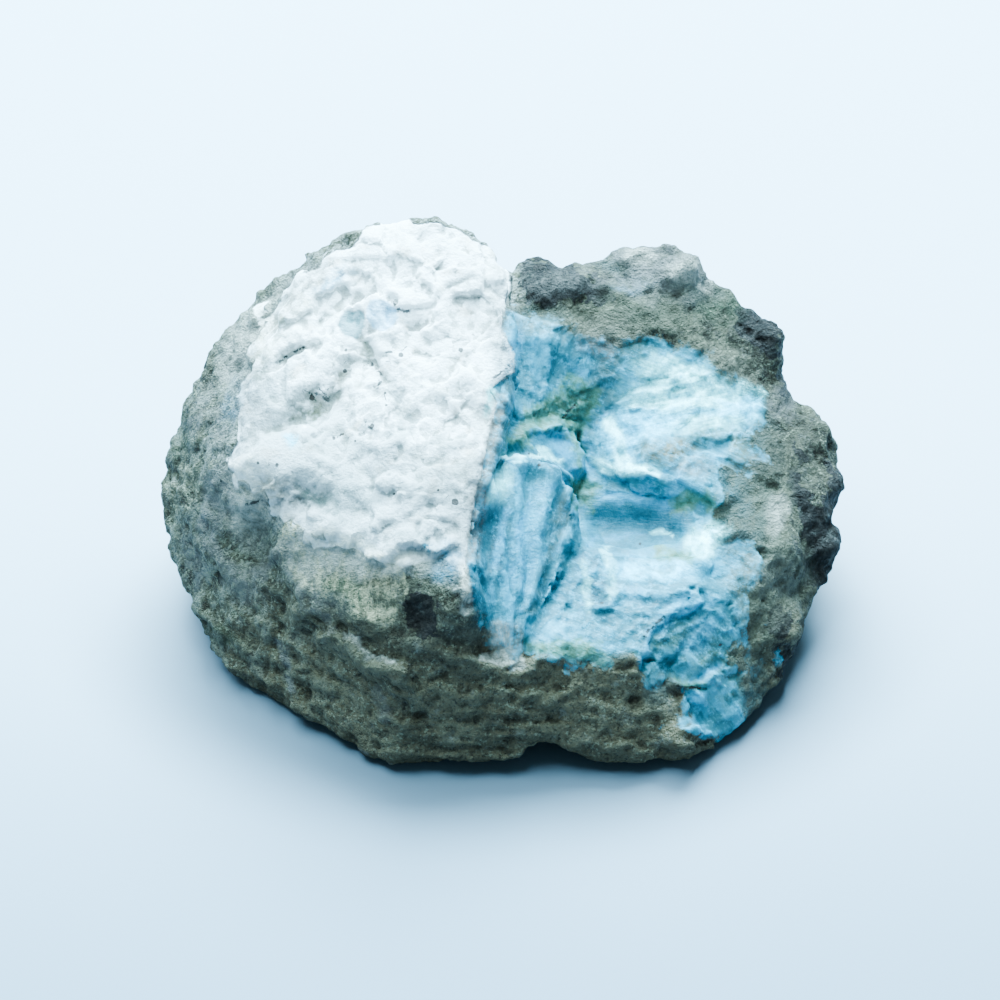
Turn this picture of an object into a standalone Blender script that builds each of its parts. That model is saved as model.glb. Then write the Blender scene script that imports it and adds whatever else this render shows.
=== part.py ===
"""Rough larimar: blue pectolite and a white crust broken out of grey-green basalt, in one lump.

Named values are millimetres and the mesh is metres. +X runs along the length, -Y is the broken
front face and +Z is up. The origin is on the floor, under the middle of the stone's box.
"""
import math

import bmesh
import bpy
import numpy as np
from mathutils import Vector, noise

MM = 0.001

# Driving dimensions of the finished stone
STONE_NAME = "rough_larimar"
LENGTH = 81.0
WIDTH = 62.0
HEIGHT = 38.6

# How finely the surface is worked
CLAY_SIZE = 0.85
CLAY_SMOOTHING = 2
MAX_TRIANGLES = 9600
FLOOR_SNAP = 0.06
SHARP_ANGLE = math.radians(35.0)

# Colour of the stone as a whole
STONE_COLOUR = (0.42, 0.52, 0.53, 1.0)
STONE_ROUGHNESS = 0.62

# The tall block on the left, which carries the white crust
WHITE_BLOCK = {
    "crown ridge": (1.2, 14.6, 36.4),
    "crown lip": (1.5, 8.0, 34.2),
    "crown shoulder": (-2.2, 19.8, 36.9),
    "crown top": (-11.0, 22.6, 39.0),
    "crown back": (-6.6, 21.4, 38.2),
    "crown left": (-18.0, 22.6, 36.4),
    "rear shoulder": (-23.6, 20.6, 32.4),
    "rear corner": (-29.4, 22.6, 27.6),
    "left shoulder": (-36.0, 16.2, 20.6),
    "left flank": (-40.4, 9.4, 15.4),
    "left end": (-41.3, 2.0, 12.2),
    "left low": (-39.8, -2.2, 7.0),
    "left lower": (-37.2, -8.4, 5.0),
    "left foot": (-33.6, -15.0, 3.0),
    "plateau left": (-29.5, 2.5, 27.0),
    "plateau corner": (-30.0, -3.0, 25.0),
    "plateau front left": (-29.5, -6.0, 23.0),
    "plateau front": (-22.5, -12.0, 23.0),
    "plateau front middle": (-13.0, -18.5, 23.2),
    "plateau front right": (-4.0, -23.5, 22.3),
    "wall middle": (-2.5, -8.0, 28.0),
    "crest left": (-31.0, -11.0, 13.5),
    "crest": (-23.0, -17.0, 15.0),
    "crest step": (-19.5, -20.5, 14.0),
    "crest middle": (-14.5, -25.0, 13.2),
    "crest right": (-10.0, -26.5, 13.4),
    "crest end": (-3.5, -26.5, 13.8),
    "foot right": (-2.5, -30.5, 1.5),
    "foot nose": (-11.5, -30.5, 1.5),
    "foot corner": (-14.0, -30.0, 1.5),
    "foot": (-19.5, -23.5, 1.5),
    "foot middle": (-23.0, -21.0, 1.5),
    "foot left": (-29.0, -18.5, 1.5),
    "girdle back left": (-22.0, 27.0, 14.0),
    "girdle back": (-8.0, 29.5, 17.0),
    "girdle left": (-33.0, 20.0, 12.0),
    "base front left": (-27.0, -15.0, 0.4),
    "base front": (-17.0, -22.0, 0.4),
    "base nose": (-12.0, -27.0, 0.4),
    "base right": (0.0, -27.0, 0.4),
    "base left": (-35.0, 0.0, 0.4),
    "base back left": (-33.0, 10.0, 0.4),
    "base back": (-24.0, 20.0, 0.4),
    "base middle back": (-8.0, 24.0, 0.4),
}

# The low block on the right, from the girdle down, with its top about level with the shelf
BLUE_BLOCK = {
    "shelf left": (-2.0, -24.5, 13.5),
    "shelf": (6.5, -24.5, 13.3),
    "shelf right": (13.5, -24.0, 12.6),
    "shelf far right": (21.0, -18.5, 12.6),
    "rim front": (29.5, -11.0, 14.6),
    "floor back left": (-8.0, 2.0, 13.5),
    "floor back right": (30.0, 5.0, 14.5),
    "right shoulder": (37.0, 12.0, 16.5),
    "right top": (40.0, 8.5, 14.5),
    "right end": (40.3, 2.0, 11.5),
    "right low": (38.5, -4.5, 7.0),
    "right lower": (35.0, -11.5, 3.0),
    "foot far right": (32.0, -19.0, 2.0),
    "foot right": (27.5, -25.0, 1.5),
    "foot front right": (22.5, -29.0, 1.5),
    "foot front": (17.0, -30.5, 1.5),
    "foot middle": (11.5, -30.5, 1.5),
    "foot left": (-8.0, -30.5, 1.5),
    "crest left": (-9.0, -26.3, 13.2),
    "girdle back": (-8.0, 29.5, 17.0),
    "girdle back middle": (8.0, 30.5, 15.0),
    "girdle back right": (22.0, 29.5, 14.0),
    "girdle right": (33.0, 21.0, 10.0),
    "girdle end": (38.0, 10.0, 7.0),
    "base front": (0.0, -27.0, 0.4),
    "base front right": (18.0, -26.5, 0.4),
    "base corner": (26.0, -22.0, 0.4),
    "base right": (30.0, -15.0, 0.4),
    "base far right": (33.0, -3.0, 0.4),
    "base back right": (32.0, 9.0, 0.4),
    "base back": (24.0, 20.0, 0.4),
    "base back middle": (8.0, 26.0, 0.4),
    "base back left": (-8.0, 24.0, 0.4),
}

# The high ground behind the blue hollow, left and right of its saddle
REAR_WALL = {
    "under crown": (-5.0, 18.0, 31.0),
    "saddle left": (0.5, 22.5, 30.5),
    "saddle": (6.0, 24.5, 29.6),
    "saddle right": (11.0, 24.5, 30.2),
    "wall top left": (2.0, 15.4, 30.3),
    "wall top": (8.5, 15.6, 30.5),
    "wall middle left": (2.3, 11.5, 28.8),
    "wall middle": (8.5, 11.5, 26.0),
    "wall foot left": (1.5, 5.0, 25.0),
    "wall foot": (8.0, 7.5, 21.5),
    "wall foot right": (12.5, 9.0, 20.5),
    "buried left": (-6.0, 4.0, 14.0),
    "buried": (12.0, 6.0, 14.0),
    "girdle left": (-8.0, 29.0, 17.0),
    "girdle": (12.0, 30.0, 15.0),
}
REAR_LUMP = {
    "left": (9.0, 24.5, 29.8),
    "top left": (14.0, 25.5, 31.2),
    "top": (18.0, 25.5, 32.0),
    "top right": (21.5, 25.5, 31.0),
    "right": (24.0, 25.0, 29.0),
    "right shoulder": (28.0, 22.5, 26.8),
    "right corner": (31.5, 21.0, 24.8),
    "right edge": (33.0, 18.0, 22.0),
    "right notch": (34.0, 14.5, 18.5),
    "front left": (10.0, 17.0, 30.0),
    "front": (17.5, 17.6, 29.5),
    "front right": (24.0, 18.5, 27.0),
    "step left": (11.5, 12.5, 26.0),
    "step": (17.5, 12.8, 26.0),
    "step right": (24.0, 13.5, 24.6),
    "step far right": (30.0, 15.5, 22.0),
    "foot left": (12.0, 9.3, 21.0),
    "foot": (17.5, 8.5, 21.8),
    "foot right": (24.0, 9.0, 21.3),
    "foot far right": (32.0, 10.5, 18.5),
    "buried left": (10.0, 8.0, 13.0),
    "buried right": (34.0, 8.0, 12.0),
    "girdle left": (8.0, 30.3, 15.0),
    "girdle": (22.0, 29.5, 14.0),
    "girdle right": (33.0, 20.5, 11.0),
}

# Benches inside the blue hollow
TERRACE = {
    "back left": (10.5, 9.5, 20.6),
    "back": (17.5, 9.5, 22.0),
    "back right": (24.0, 10.0, 21.5),
    "back far right": (31.0, 11.5, 19.0),
    "middle left": (10.5, 4.0, 18.4),
    "middle": (17.5, 2.5, 20.0),
    "middle right": (23.5, 3.8, 18.8),
    "lip left": (12.0, 1.2, 17.6),
    "lip": (16.5, -0.4, 18.4),
    "lip right": (20.5, -1.8, 17.2),
    "front right": (26.0, -3.2, 17.0),
    "right": (31.0, -2.5, 16.4),
    "right shoulder": (33.0, 5.0, 17.2),
    "buried left": (11.0, 1.0, 12.0),
    "buried": (20.0, -2.0, 12.0),
    "buried right": (32.0, -3.0, 12.0),
}
RIGHT_RIM = {
    "top back": (33.5, 12.0, 18.0),
    "top": (37.0, 8.0, 16.6),
    "top right": (39.0, 6.0, 15.5),
    "right": (39.6, -0.5, 12.5),
    "inner back": (28.5, 4.0, 17.6),
    "inner": (28.0, -4.0, 16.8),
    "inner front": (26.0, -9.5, 15.4),
    "front": (29.8, -11.0, 15.0),
    "front right": (35.0, -8.0, 11.5),
    "buried back": (30.0, 8.0, 10.0),
    "buried": (26.0, -8.0, 10.0),
    "buried right": (37.0, -2.0, 8.0),
}
UPPER_PANEL = {
    "back left": (-4.0, 6.5, 25.5),
    "back": (3.0, 5.5, 25.0),
    "back right": (8.5, 6.0, 20.8),
    "middle right": (9.2, 1.5, 18.6),
    "front right": (8.0, -2.0, 18.0),
    "front": (3.0, -2.2, 22.6),
    "front left": (-4.0, -2.0, 24.0),
    "buried left": (-5.0, 2.0, 13.0),
    "buried": (9.0, 0.0, 13.0),
}
FAN = {
    "top left": (0.2, -3.6, 25.2),
    "top": (4.6, -3.4, 24.6),
    "top right": (8.4, -5.4, 21.4),
    "flank right": (9.6, -9.0, 15.6),
    "flank low": (6.2, -18.0, 14.4),
    "root": (2.2, -24.3, 13.9),
    "root left": (-1.6, -24.3, 15.2),
    "wall": (-2.2, -16.5, 21.2),
    "wall top": (-1.8, -9.0, 24.4),
    "buried left": (-4.0, -20.0, 8.0),
    "buried root": (3.0, -22.0, 8.0),
    "buried flank": (8.0, -10.0, 8.0),
    "buried back": (0.0, -4.5, 8.0),
}
FRONT_LEDGE = {
    "back left": (10.5, -9.8, 15.8),
    "back": (16.0, -10.6, 15.6),
    "back right": (24.0, -11.5, 15.4),
    "left": (7.5, -15.0, 15.0),
    "front left": (6.5, -19.0, 14.2),
    "front": (13.5, -18.2, 14.8),
    "front right": (21.5, -17.5, 14.0),
    "buried left": (7.0, -16.0, 9.0),
    "buried back": (14.0, -9.0, 12.0),
    "buried right": (22.0, -12.0, 9.0),
}
SHELF = {
    "left": (0.5, -24.7, 14.0),
    "middle": (6.5, -25.0, 13.6),
    "right": (13.5, -24.6, 12.9),
    "back left": (1.5, -20.5, 14.6),
    "back": (9.0, -20.0, 14.3),
    "back right": (17.0, -20.5, 13.4),
    "buried left": (2.0, -24.0, 9.0),
    "buried": (12.0, -23.5, 9.0),
    "buried back": (8.0, -18.0, 9.0),
}
CROWN_LIP = {
    "top": (-1.0, 10.5, 34.0),
    "top front": (-1.5, 3.0, 32.0),
    "edge back": (1.4, 9.0, 33.0),
    "edge": (2.0, 4.4, 31.4),
    "edge front": (0.4, 1.6, 30.6),
    "under back": (0.2, 9.0, 28.5),
    "under": (0.4, 4.0, 27.8),
    "buried": (-5.0, 5.0, 28.0),
}
CREST_BUTTRESS = {
    "top": (-16.5, -20.5, 18.5),
    "top left": (-23.5, -15.5, 17.0),
    "lip left": (-24.0, -17.5, 14.4),
    "lip": (-19.5, -21.4, 13.6),
    "lip right": (-14.0, -25.9, 12.8),
    "lip end": (-9.5, -27.3, 12.9),
    "top right": (-9.0, -24.0, 17.5),
    "under left": (-22.0, -17.5, 11.0),
    "under": (-14.0, -24.0, 9.5),
    "buried": (-12.0, -16.0, 12.0),
}

# Hollows broken out of the stone
POOL = {
    "back left": (9.6, -0.6, 18.5),
    "back": (16.0, -1.8, 18.8),
    "back right": (21.5, -3.4, 18.0),
    "floor back left": (10.0, -2.0, 13.2),
    "floor back right": (20.8, -4.2, 13.0),
    "floor left": (9.9, -7.5, 12.0),
    "floor right": (21.0, -7.6, 12.3),
    "floor front": (15.5, -8.6, 12.4),
    "above left": (10.0, -7.0, 30.0),
    "above right": (22.0, -7.0, 30.0),
}
FAN_POCKET = {
    "back left": (9.0, 0.8, 19.5),
    "back right": (12.0, 0.4, 19.0),
    "deep left": (9.6, -0.8, 15.8),
    "deep right": (11.2, -1.0, 15.8),
    "front left": (9.4, -2.4, 15.5),
    "front right": (12.4, -2.2, 16.0),
    "above left": (8.4, -1.0, 26.0),
    "above right": (12.0, -1.0, 26.0),
}
LEFT_HOLLOW = {
    "top left": (-32.5, -5.5, 21.0),
    "top": (-28.5, -8.4, 21.5),
    "top right": (-25.5, -11.8, 20.0),
    "deep": (-28.0, -8.5, 15.5),
    "deep right": (-25.5, -11.5, 15.5),
    "foot left": (-31.0, -9.5, 13.2),
    "foot right": (-25.5, -14.6, 14.4),
    "outside left": (-38.0, -12.0, 20.0),
    "outside": (-32.0, -20.0, 20.0),
}
FRONT_ARCH = {
    "crown": (4.6, -28.6, 2.7),
    "crown left": (1.2, -28.6, 1.9),
    "crown right": (8.2, -28.8, 2.2),
    "left": (-3.0, -29.4, 0.0),
    "right": (12.6, -29.6, 0.0),
    "inside": (5.0, -18.0, 0.6),
    "front left": (-3.0, -36.0, 1.0),
    "front": (5.0, -36.0, 5.5),
    "front right": (13.0, -36.0, 1.0),
    "below left": (0.0, -22.0, -3.0),
    "below right": (9.0, -22.0, -3.0),
}
RIGHT_UNDERCUT = {
    "top back": (41.5, -4.0, 9.0),
    "top front": (38.0, -13.0, 8.0),
    "deep back": (36.2, -7.0, 4.0),
    "deep front": (34.0, -13.5, 3.6),
    "low back": (36.5, -6.0, -2.0),
    "low front": (34.0, -14.0, -2.0),
    "outside": (46.0, -12.0, 3.0),
}
RIGHT_NOTCH = {
    "inside": (32.6, 13.6, 19.8),
    "top": (37.0, 17.0, 26.0),
    "front": (36.4, 10.8, 18.4),
    "back": (35.0, 22.0, 17.0),
    "outside": (44.0, 18.0, 18.0),
    "low": (36.5, 15.5, 15.5),
}
REAR_SCOOP = {
    "left": (-16.0, 27.5, 26.0),
    "right": (-2.0, 28.0, 27.0),
    "low left": (-14.0, 32.0, 14.0),
    "low right": (0.0, 33.0, 15.0),
    "deep": (-9.0, 25.6, 21.0),
    "outside": (-8.0, 40.0, 24.0),
}

SOLID_FORMS = {
    "blue_block": BLUE_BLOCK,
    "rear_wall": REAR_WALL,
    "rear_lump": REAR_LUMP,
    "terrace": TERRACE,
    "right_rim": RIGHT_RIM,
    "upper_panel": UPPER_PANEL,
    "front_ledge": FRONT_LEDGE,
    "shelf": SHELF,
    "crown_lip": CROWN_LIP,
    "crest_buttress": CREST_BUTTRESS,
}
HOLLOW_FORMS = {
    "pool": POOL,
    "fan_pocket": FAN_POCKET,
    "left_hollow": LEFT_HOLLOW,
    "front_arch": FRONT_ARCH,
    "right_undercut": RIGHT_UNDERCUT,
    "right_notch": RIGHT_NOTCH,
    "rear_scoop": REAR_SCOOP,
}

# Rounded knobs of basalt: place, then radius
KNOBS = {
    "crown nub": ((-4.5, 19.4, 35.7), 2.1),
    "saddle knob": ((4.0, 22.0, 28.4), 3.4),
    "dark knob": ((9.4, 21.0, 28.4), 3.2),
    "rear lump knob": ((14.5, 23.4, 29.2), 3.4),
    "white patch knob": ((21.6, 22.8, 28.2), 3.4),
    "shoulder knob": ((30.4, 18.8, 22.6), 3.6),
    "right knob top": ((36.2, 8.8, 14.8), 3.2),
    "right knob": ((37.8, 3.8, 12.4), 3.0),
    "right knob low": ((36.8, -2.2, 9.4), 3.2),
    "right front knob": ((32.0, -7.0, 11.6), 3.6),
    "right side knob": ((31.6, -13.4, 6.8), 3.6),
    "left blob": ((-34.6, -9.2, 6.4), 2.1),
    "left blob below": ((-32.4, -11.0, 6.0), 2.1),
    "foot knob": ((20.0, -27.2, 3.6), 3.0),
    "rear left knob": ((-26.0, 24.0, 12.0), 3.6),
    "rear knob": ((-2.0, 28.0, 11.0), 3.8),
    "rear right knob": ((27.0, 25.0, 11.0), 3.8),
}

# Relief left by breaking and weathering: how wide, then how tall
LUMP_RELIEF = (9.0, 0.8)
NODULE_RELIEF = (5.0, 0.8)
GRAIN_RELIEF = (2.4, 0.35)
CRUST_RELIEF = (8.0, 0.7)
CHIP_RELIEF = (5.0, 0.75)
WALL_RELIEF = (5.5, 1.3)
BLUE_RELIEF = (4.5, 0.55)
FLOOR_RELIEF = (10.0, 2.2)
CHIP_STEPS = 3.0

# Bedded layers on the broken front, which stop under the blue shelf
LEDGE_SPACING = 3.1
LEDGE_DEPTH = 1.3
LEDGE_TOP = 13.0

# Ribs that spread out from the root of the fan
FIBRE_COUNT = 7
FIBRE_DEPTH = 0.45
FAN_ROOT = (1.0, -29.0)
FAN_REACH = (8.0, 25.0)
FAN_RIGHT = 9.0

# Where the blue face and the white crust end
BLUE_LEFT, BLUE_RIGHT = -2.0, 29.0
BLUE_FRONT, BLUE_BACK = -24.5, 16.0
CRUST_RIGHT = 0.5
CRUST_LOW = 19.0
WALL_LOW, WALL_HIGH = 15.0, 34.0


def clear_scene():
    """Start from an empty scene."""
    for ob in list(bpy.data.objects):
        bpy.data.objects.remove(ob)


def smooth_step(low, high, value):
    """Rise from 0 at low to 1 at high."""
    t = min(max((value - low) / (high - low), 0.0), 1.0)
    return t * t * (3.0 - 2.0 * t)


def new_object(name, bm):
    """Put a bmesh into the scene as an object."""
    mesh = bpy.data.meshes.new(name)
    bm.to_mesh(mesh)
    bm.free()
    ob = bpy.data.objects.new(name, mesh)
    bpy.context.scene.collection.objects.link(ob)
    return ob


def hull(name, corners):
    """Make the tightest convex solid around named corners in millimetres."""
    bm = bmesh.new()
    for corner in corners.values():
        bm.verts.new(Vector(corner) * MM)
    bmesh.ops.convex_hull(bm, input=bm.verts)
    inside = [vert for vert in bm.verts if not vert.link_faces]
    bmesh.ops.delete(bm, geom=inside, context="VERTS")
    bmesh.ops.recalc_face_normals(bm, faces=bm.faces)
    return new_object(name, bm)


def knob(name, centre, radius):
    """Make a low rounded lump."""
    bm = bmesh.new()
    bmesh.ops.create_icosphere(bm, subdivisions=2, radius=radius * MM)
    bmesh.ops.translate(bm, verts=bm.verts, vec=Vector(centre) * MM)
    return new_object(name.replace(" ", "_"), bm)


def combine(stone, other, operation):
    """Add another form to the stone, or cut it away, with a Boolean modifier."""
    modifier = stone.modifiers.new(other.name, "BOOLEAN")
    modifier.object = other
    modifier.operation = operation
    other.hide_render = True
    other.display_type = "WIRE"


def apply_modifiers(stone):
    """Turn the modifiers into plain mesh and clear away the forms that they used."""
    graph = bpy.context.evaluated_depsgraph_get()
    mesh = bpy.data.meshes.new_from_object(stone.evaluated_get(graph))
    stone.modifiers.clear()
    stone.data = mesh
    for ob in list(bpy.data.objects):
        if ob is not stone:
            bpy.data.objects.remove(ob)


def rough_out():
    """Union the blocks and knobs, cut the hollows, and return the rough stone."""
    stone = hull(STONE_NAME, WHITE_BLOCK)
    for name, corners in SOLID_FORMS.items():
        combine(stone, hull(name, corners), "UNION")
    for name, corners in HOLLOW_FORMS.items():
        combine(stone, hull(name, corners), "DIFFERENCE")
    combine(stone, hull("fan", FAN), "UNION")
    for name, (centre, radius) in KNOBS.items():
        combine(stone, knob(name, centre, radius), "UNION")
    apply_modifiers(stone)
    return stone


def even_out(stone):
    """Give the stone an even skin of small faces and round its breaks a little."""
    remesh = stone.modifiers.new("clay", "REMESH")
    remesh.mode = "VOXEL"
    remesh.voxel_size = CLAY_SIZE * MM
    smooth = stone.modifiers.new("soften", "SMOOTH")
    smooth.factor = 0.5
    smooth.iterations = CLAY_SMOOTHING
    apply_modifiers(stone)


def waves(point, size, seed):
    """Return soft noise from -1 to 1 whose bumps are about one size across."""
    return noise.noise(point / size + Vector((seed, 2.0 * seed, 0.5 * seed)))


def nodules(point, size, seed):
    """Return rounded lumps about one size across, 1 at their tops and 0 in the creases."""
    warp = Vector((waves(point, size, seed), waves(point, size, seed + 0.3), 0.0)) * 0.4
    distances = noise.voronoi(point / size + warp + Vector((seed, seed, seed)))[0]
    return 1.0 - min(distances[0] / distances[1], 1.0) ** 2


def chips(point, size, seed):
    """Return broken steps, flat on top and steep at their edges, -1 to 1."""
    level = CHIP_STEPS * (waves(point, size, seed) + 0.5 * waves(point, size / 2.0, seed + 1.0))
    whole = math.floor(level)
    return (whole + smooth_step(0.35, 0.65, level - whole)) / CHIP_STEPS


def ledges(point):
    """Return the uneven overhangs of the bedded layers, -1 to 1."""
    level = point.z + 0.05 * point.x + 1.5 * waves(point, 10.0, 7.0)
    step = (level / LEDGE_SPACING) % 1.0
    broken = 0.3 + 0.7 * smooth_step(-0.25, 0.35, waves(point, 8.0, 8.0))
    return broken * (step * (1.0 - smooth_step(0.78, 1.0, step)) - 0.4)


def fibres(point):
    """Return the ribs that spread from the fan's root, -1 to 1."""
    angle = math.atan2(point.x - FAN_ROOT[0], point.y - FAN_ROOT[1])
    return math.sin(2.0 * math.pi * FIBRE_COUNT * angle + 1.5 * waves(point, 6.0, 3.0))


def basalt_relief(point, normal):
    """Return the lumpy relief of the grey-green rock, bedded on the broken front."""
    depth = LUMP_RELIEF[1] * waves(point, LUMP_RELIEF[0], 1.0)
    depth += NODULE_RELIEF[1] * (nodules(point, NODULE_RELIEF[0], 2.0) - 0.6)
    depth += GRAIN_RELIEF[1] * waves(point, GRAIN_RELIEF[0], 2.0)
    front = smooth_step(0.25, 0.7, -normal.y) * (1.0 - smooth_step(LEDGE_TOP - 1.5, LEDGE_TOP, point.z))
    return depth * (1.0 - 0.4 * front) + front * LEDGE_DEPTH * ledges(point)


def crust_relief(point):
    """Return the chipped, gently swelling relief of the white crust."""
    depth = CRUST_RELIEF[1] * waves(point, CRUST_RELIEF[0], 4.0)
    return depth + CHIP_RELIEF[1] * chips(point, CHIP_RELIEF[0], 9.0)


def blue_relief(point):
    """Return the splintered relief of the blue face, ribbed on the fan."""
    depth = BLUE_RELIEF[1] * chips(point, BLUE_RELIEF[0], 5.0)
    reach = point.y - FAN_ROOT[1]
    on_fan = smooth_step(FAN_REACH[0], FAN_REACH[0] + 3.0, reach)
    on_fan *= 1.0 - smooth_step(FAN_REACH[1] - 1.0, FAN_REACH[1], reach)
    on_fan *= 1.0 - smooth_step(FAN_RIGHT - 1.5, FAN_RIGHT, point.x)
    return depth + (FIBRE_DEPTH * fibres(point) - depth) * on_fan


def relief(point, normal):
    """Return how far the skin at a point moves out, in millimetres."""
    on_crust = smooth_step(0.2, 0.5, normal.z) * smooth_step(CRUST_LOW - 2.0, CRUST_LOW, point.z)
    on_crust *= 1.0 - smooth_step(CRUST_RIGHT, CRUST_RIGHT + 1.5, point.x)
    on_blue = smooth_step(BLUE_LEFT, BLUE_LEFT + 1.5, point.x)
    on_blue *= 1.0 - smooth_step(BLUE_RIGHT - 2.0, BLUE_RIGHT, point.x)
    on_blue *= smooth_step(BLUE_FRONT, BLUE_FRONT + 1.0, point.y)
    on_blue *= 1.0 - smooth_step(BLUE_BACK - 2.0, BLUE_BACK, point.y)
    on_blue *= smooth_step(-0.2, 0.2, normal.z)
    on_wall = smooth_step(0.4, 0.8, normal.x) * smooth_step(WALL_LOW, WALL_LOW + 3.0, point.z)
    on_wall *= (1.0 - smooth_step(WALL_HIGH, WALL_HIGH + 2.0, point.z))
    on_wall *= 1.0 - smooth_step(2.0, 4.0, abs(point.x))
    underneath = smooth_step(0.6, 0.9, -normal.z)
    depth = basalt_relief(point, normal)
    depth += (crust_relief(point) - depth) * on_crust
    depth += (blue_relief(point) - depth) * on_blue
    depth += WALL_RELIEF[1] * waves(point, WALL_RELIEF[0], 10.0) * on_wall
    return depth + (FLOOR_RELIEF[1] * waves(point, FLOOR_RELIEF[0], 6.0) - depth) * underneath


def weather(stone):
    """Move the skin in and out along its normals, and set the lowest places on the floor."""
    mesh = stone.data
    moved = []
    for vert in mesh.vertices:
        point = vert.co / MM
        moved.append(point + vert.normal * relief(point, vert.normal))
    for vert, point in zip(mesh.vertices, moved):
        point.z = max(point.z, 0.0)
        vert.co = point * MM


def thin_out(stone):
    """Take triangles away where the stone is plain, down to the most that it may have."""
    triangulate = stone.modifiers.new("triangles", "TRIANGULATE")
    stone.data.calc_loop_triangles()
    decimate = stone.modifiers.new("thin", "DECIMATE")
    decimate.ratio = MAX_TRIANGLES / len(stone.data.loop_triangles)
    apply_modifiers(stone)


def fit_to_size(stone):
    """Bring the box to the driving dimensions, centred over the origin, with flat resting places."""
    points = np.array([vert.co for vert in stone.data.vertices]) / MM
    low, high = points.min(axis=0), points.max(axis=0)
    middle = (low + high) / 2.0
    middle[2] = low[2]
    scale = np.array((LENGTH, WIDTH, HEIGHT)) / (high - low)
    points = (points - middle) * scale
    points[points[:, 2] < FLOOR_SNAP, 2] = 0.0
    for vert, point in zip(stone.data.vertices, points):
        vert.co = Vector(point) * MM


def stone_material():
    """Return the plain overall finish of the stone."""
    material = bpy.data.materials.new("larimar_in_basalt")
    material.use_nodes = True
    shader = material.node_tree.nodes["Principled BSDF"]
    shader.inputs["Base Color"].default_value = STONE_COLOUR
    shader.inputs["Roughness"].default_value = STONE_ROUGHNESS
    shader.inputs["Metallic"].default_value = 0.0
    return material


def main():
    """Model the stone from its named forms."""
    clear_scene()
    stone = rough_out()
    even_out(stone)
    weather(stone)
    thin_out(stone)
    fit_to_size(stone)
    stone.data.shade_smooth()
    stone.data.set_sharp_from_angle(angle=SHARP_ANGLE)
    stone.data.materials.clear()
    stone.data.materials.append(stone_material())


main()
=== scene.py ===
"""Looks of a rough larimar: blue pectolite and a white crust in grey-green basalt, on a pale studio floor.

Lengths are millimetres unless a name says otherwise, and the meshes are metres. Places named by a
pixel are read in a picture of 1000 by 1000, seen by the scene's own camera.
"""
import logging
import math
from dataclasses import dataclass, field
from enum import Enum
from typing import Callable, Sequence

import bpy
import numpy as np
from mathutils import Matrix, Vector, noise


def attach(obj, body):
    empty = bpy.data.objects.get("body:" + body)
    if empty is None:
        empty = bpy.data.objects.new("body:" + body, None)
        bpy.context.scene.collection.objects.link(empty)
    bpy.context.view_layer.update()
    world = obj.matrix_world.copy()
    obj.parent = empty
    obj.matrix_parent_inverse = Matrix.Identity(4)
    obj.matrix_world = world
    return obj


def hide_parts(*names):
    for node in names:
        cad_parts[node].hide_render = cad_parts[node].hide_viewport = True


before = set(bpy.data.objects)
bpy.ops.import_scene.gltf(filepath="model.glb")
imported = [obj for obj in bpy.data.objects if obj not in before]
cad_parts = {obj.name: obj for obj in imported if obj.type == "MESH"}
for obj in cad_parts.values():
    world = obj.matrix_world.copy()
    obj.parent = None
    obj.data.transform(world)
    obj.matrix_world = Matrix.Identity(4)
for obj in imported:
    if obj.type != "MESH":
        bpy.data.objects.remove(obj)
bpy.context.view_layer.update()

LOG = logging.getLogger("rough_larimar")
MM = 0.001
NODE = "rough_larimar"
BODY = "root"

Array = np.ndarray
Pixel = tuple[float, float]
Colour = tuple[float, float, float]

# The studio's cool light: how bright white paint comes out in red, green and blue
LIGHT_TINT: Colour = (0.43, 0.8, 1.0)
WHITE_LIGHT: Colour = (3.75, 6.9, 8.65)


def shown(red: int, green: int, blue: int, light: Colour = WHITE_LIGHT) -> Colour:
    """Find the paint that shows as a screen colour of 0 to 255, by undoing the view's soft tone curve.

    Args:
        red: Screen red.
        green: Screen green.
        blue: Screen blue.
        light: How bright a pure white is under the studio's light, in each channel.

    Returns:
        The three linear values of the paint.
    """
    tones = [0.17 * share ** 1.05 / (1.07 - share) ** 1.74 for share in (red / 255, green / 255, blue / 255)]
    strongest = max(tones)
    pure = [max(0.004, tone - 0.13 * (strongest - tone)) for tone in tones]
    return tuple(min(0.95, tone / level) for tone, level in zip(pure, light))


def smooth(low: float, high: float, values: Array) -> Array:
    """Rise smoothly from 0 at low to 1 at high.

    Args:
        low: Where the rise starts.
        high: Where it ends.
        values: What is compared with them.

    Returns:
        A share for each value.
    """
    t = np.clip((values - low) / (high - low), 0.0, 1.0)
    return t * t * (3.0 - 2.0 * t)


def waves(points: Array, size: float, seed: float, octaves: int = 1) -> Array:
    """Read soft noise, about -1 to 1, whose bumps are one size across.

    Args:
        points: One row of millimetres for each place.
        size: Width of a bump.
        seed: Moves the pattern, so that two patterns differ.
        octaves: How many finer layers are added, each half as wide and half as tall.

    Returns:
        One value for each place.
    """
    total = np.zeros(len(points))
    for layer in range(octaves):
        spread = points * (2.0 ** layer / size) + (seed * 7.3 + layer * 3.1, seed * 3.7, seed * 5.9)
        total += np.array([noise.noise(place) for place in spread.tolist()]) * 0.5 ** layer
    return total


def cells(points: Array, size: float, seed: float) -> tuple[Array, Array]:
    """Read scattered cells about one size across.

    Args:
        points: One row of millimetres for each place.
        size: Distance between neighbouring cells.
        seed: Moves the pattern.

    Returns:
        The distance to the nearest cell's middle, and how much further the next one is, in sizes.
    """
    spread = points / size + (seed * 4.1, seed * 6.7, seed * 2.3)
    near = np.array([noise.voronoi(place)[0][:2] for place in spread.tolist()])
    return near[:, 0], near[:, 1] - near[:, 0]


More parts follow.
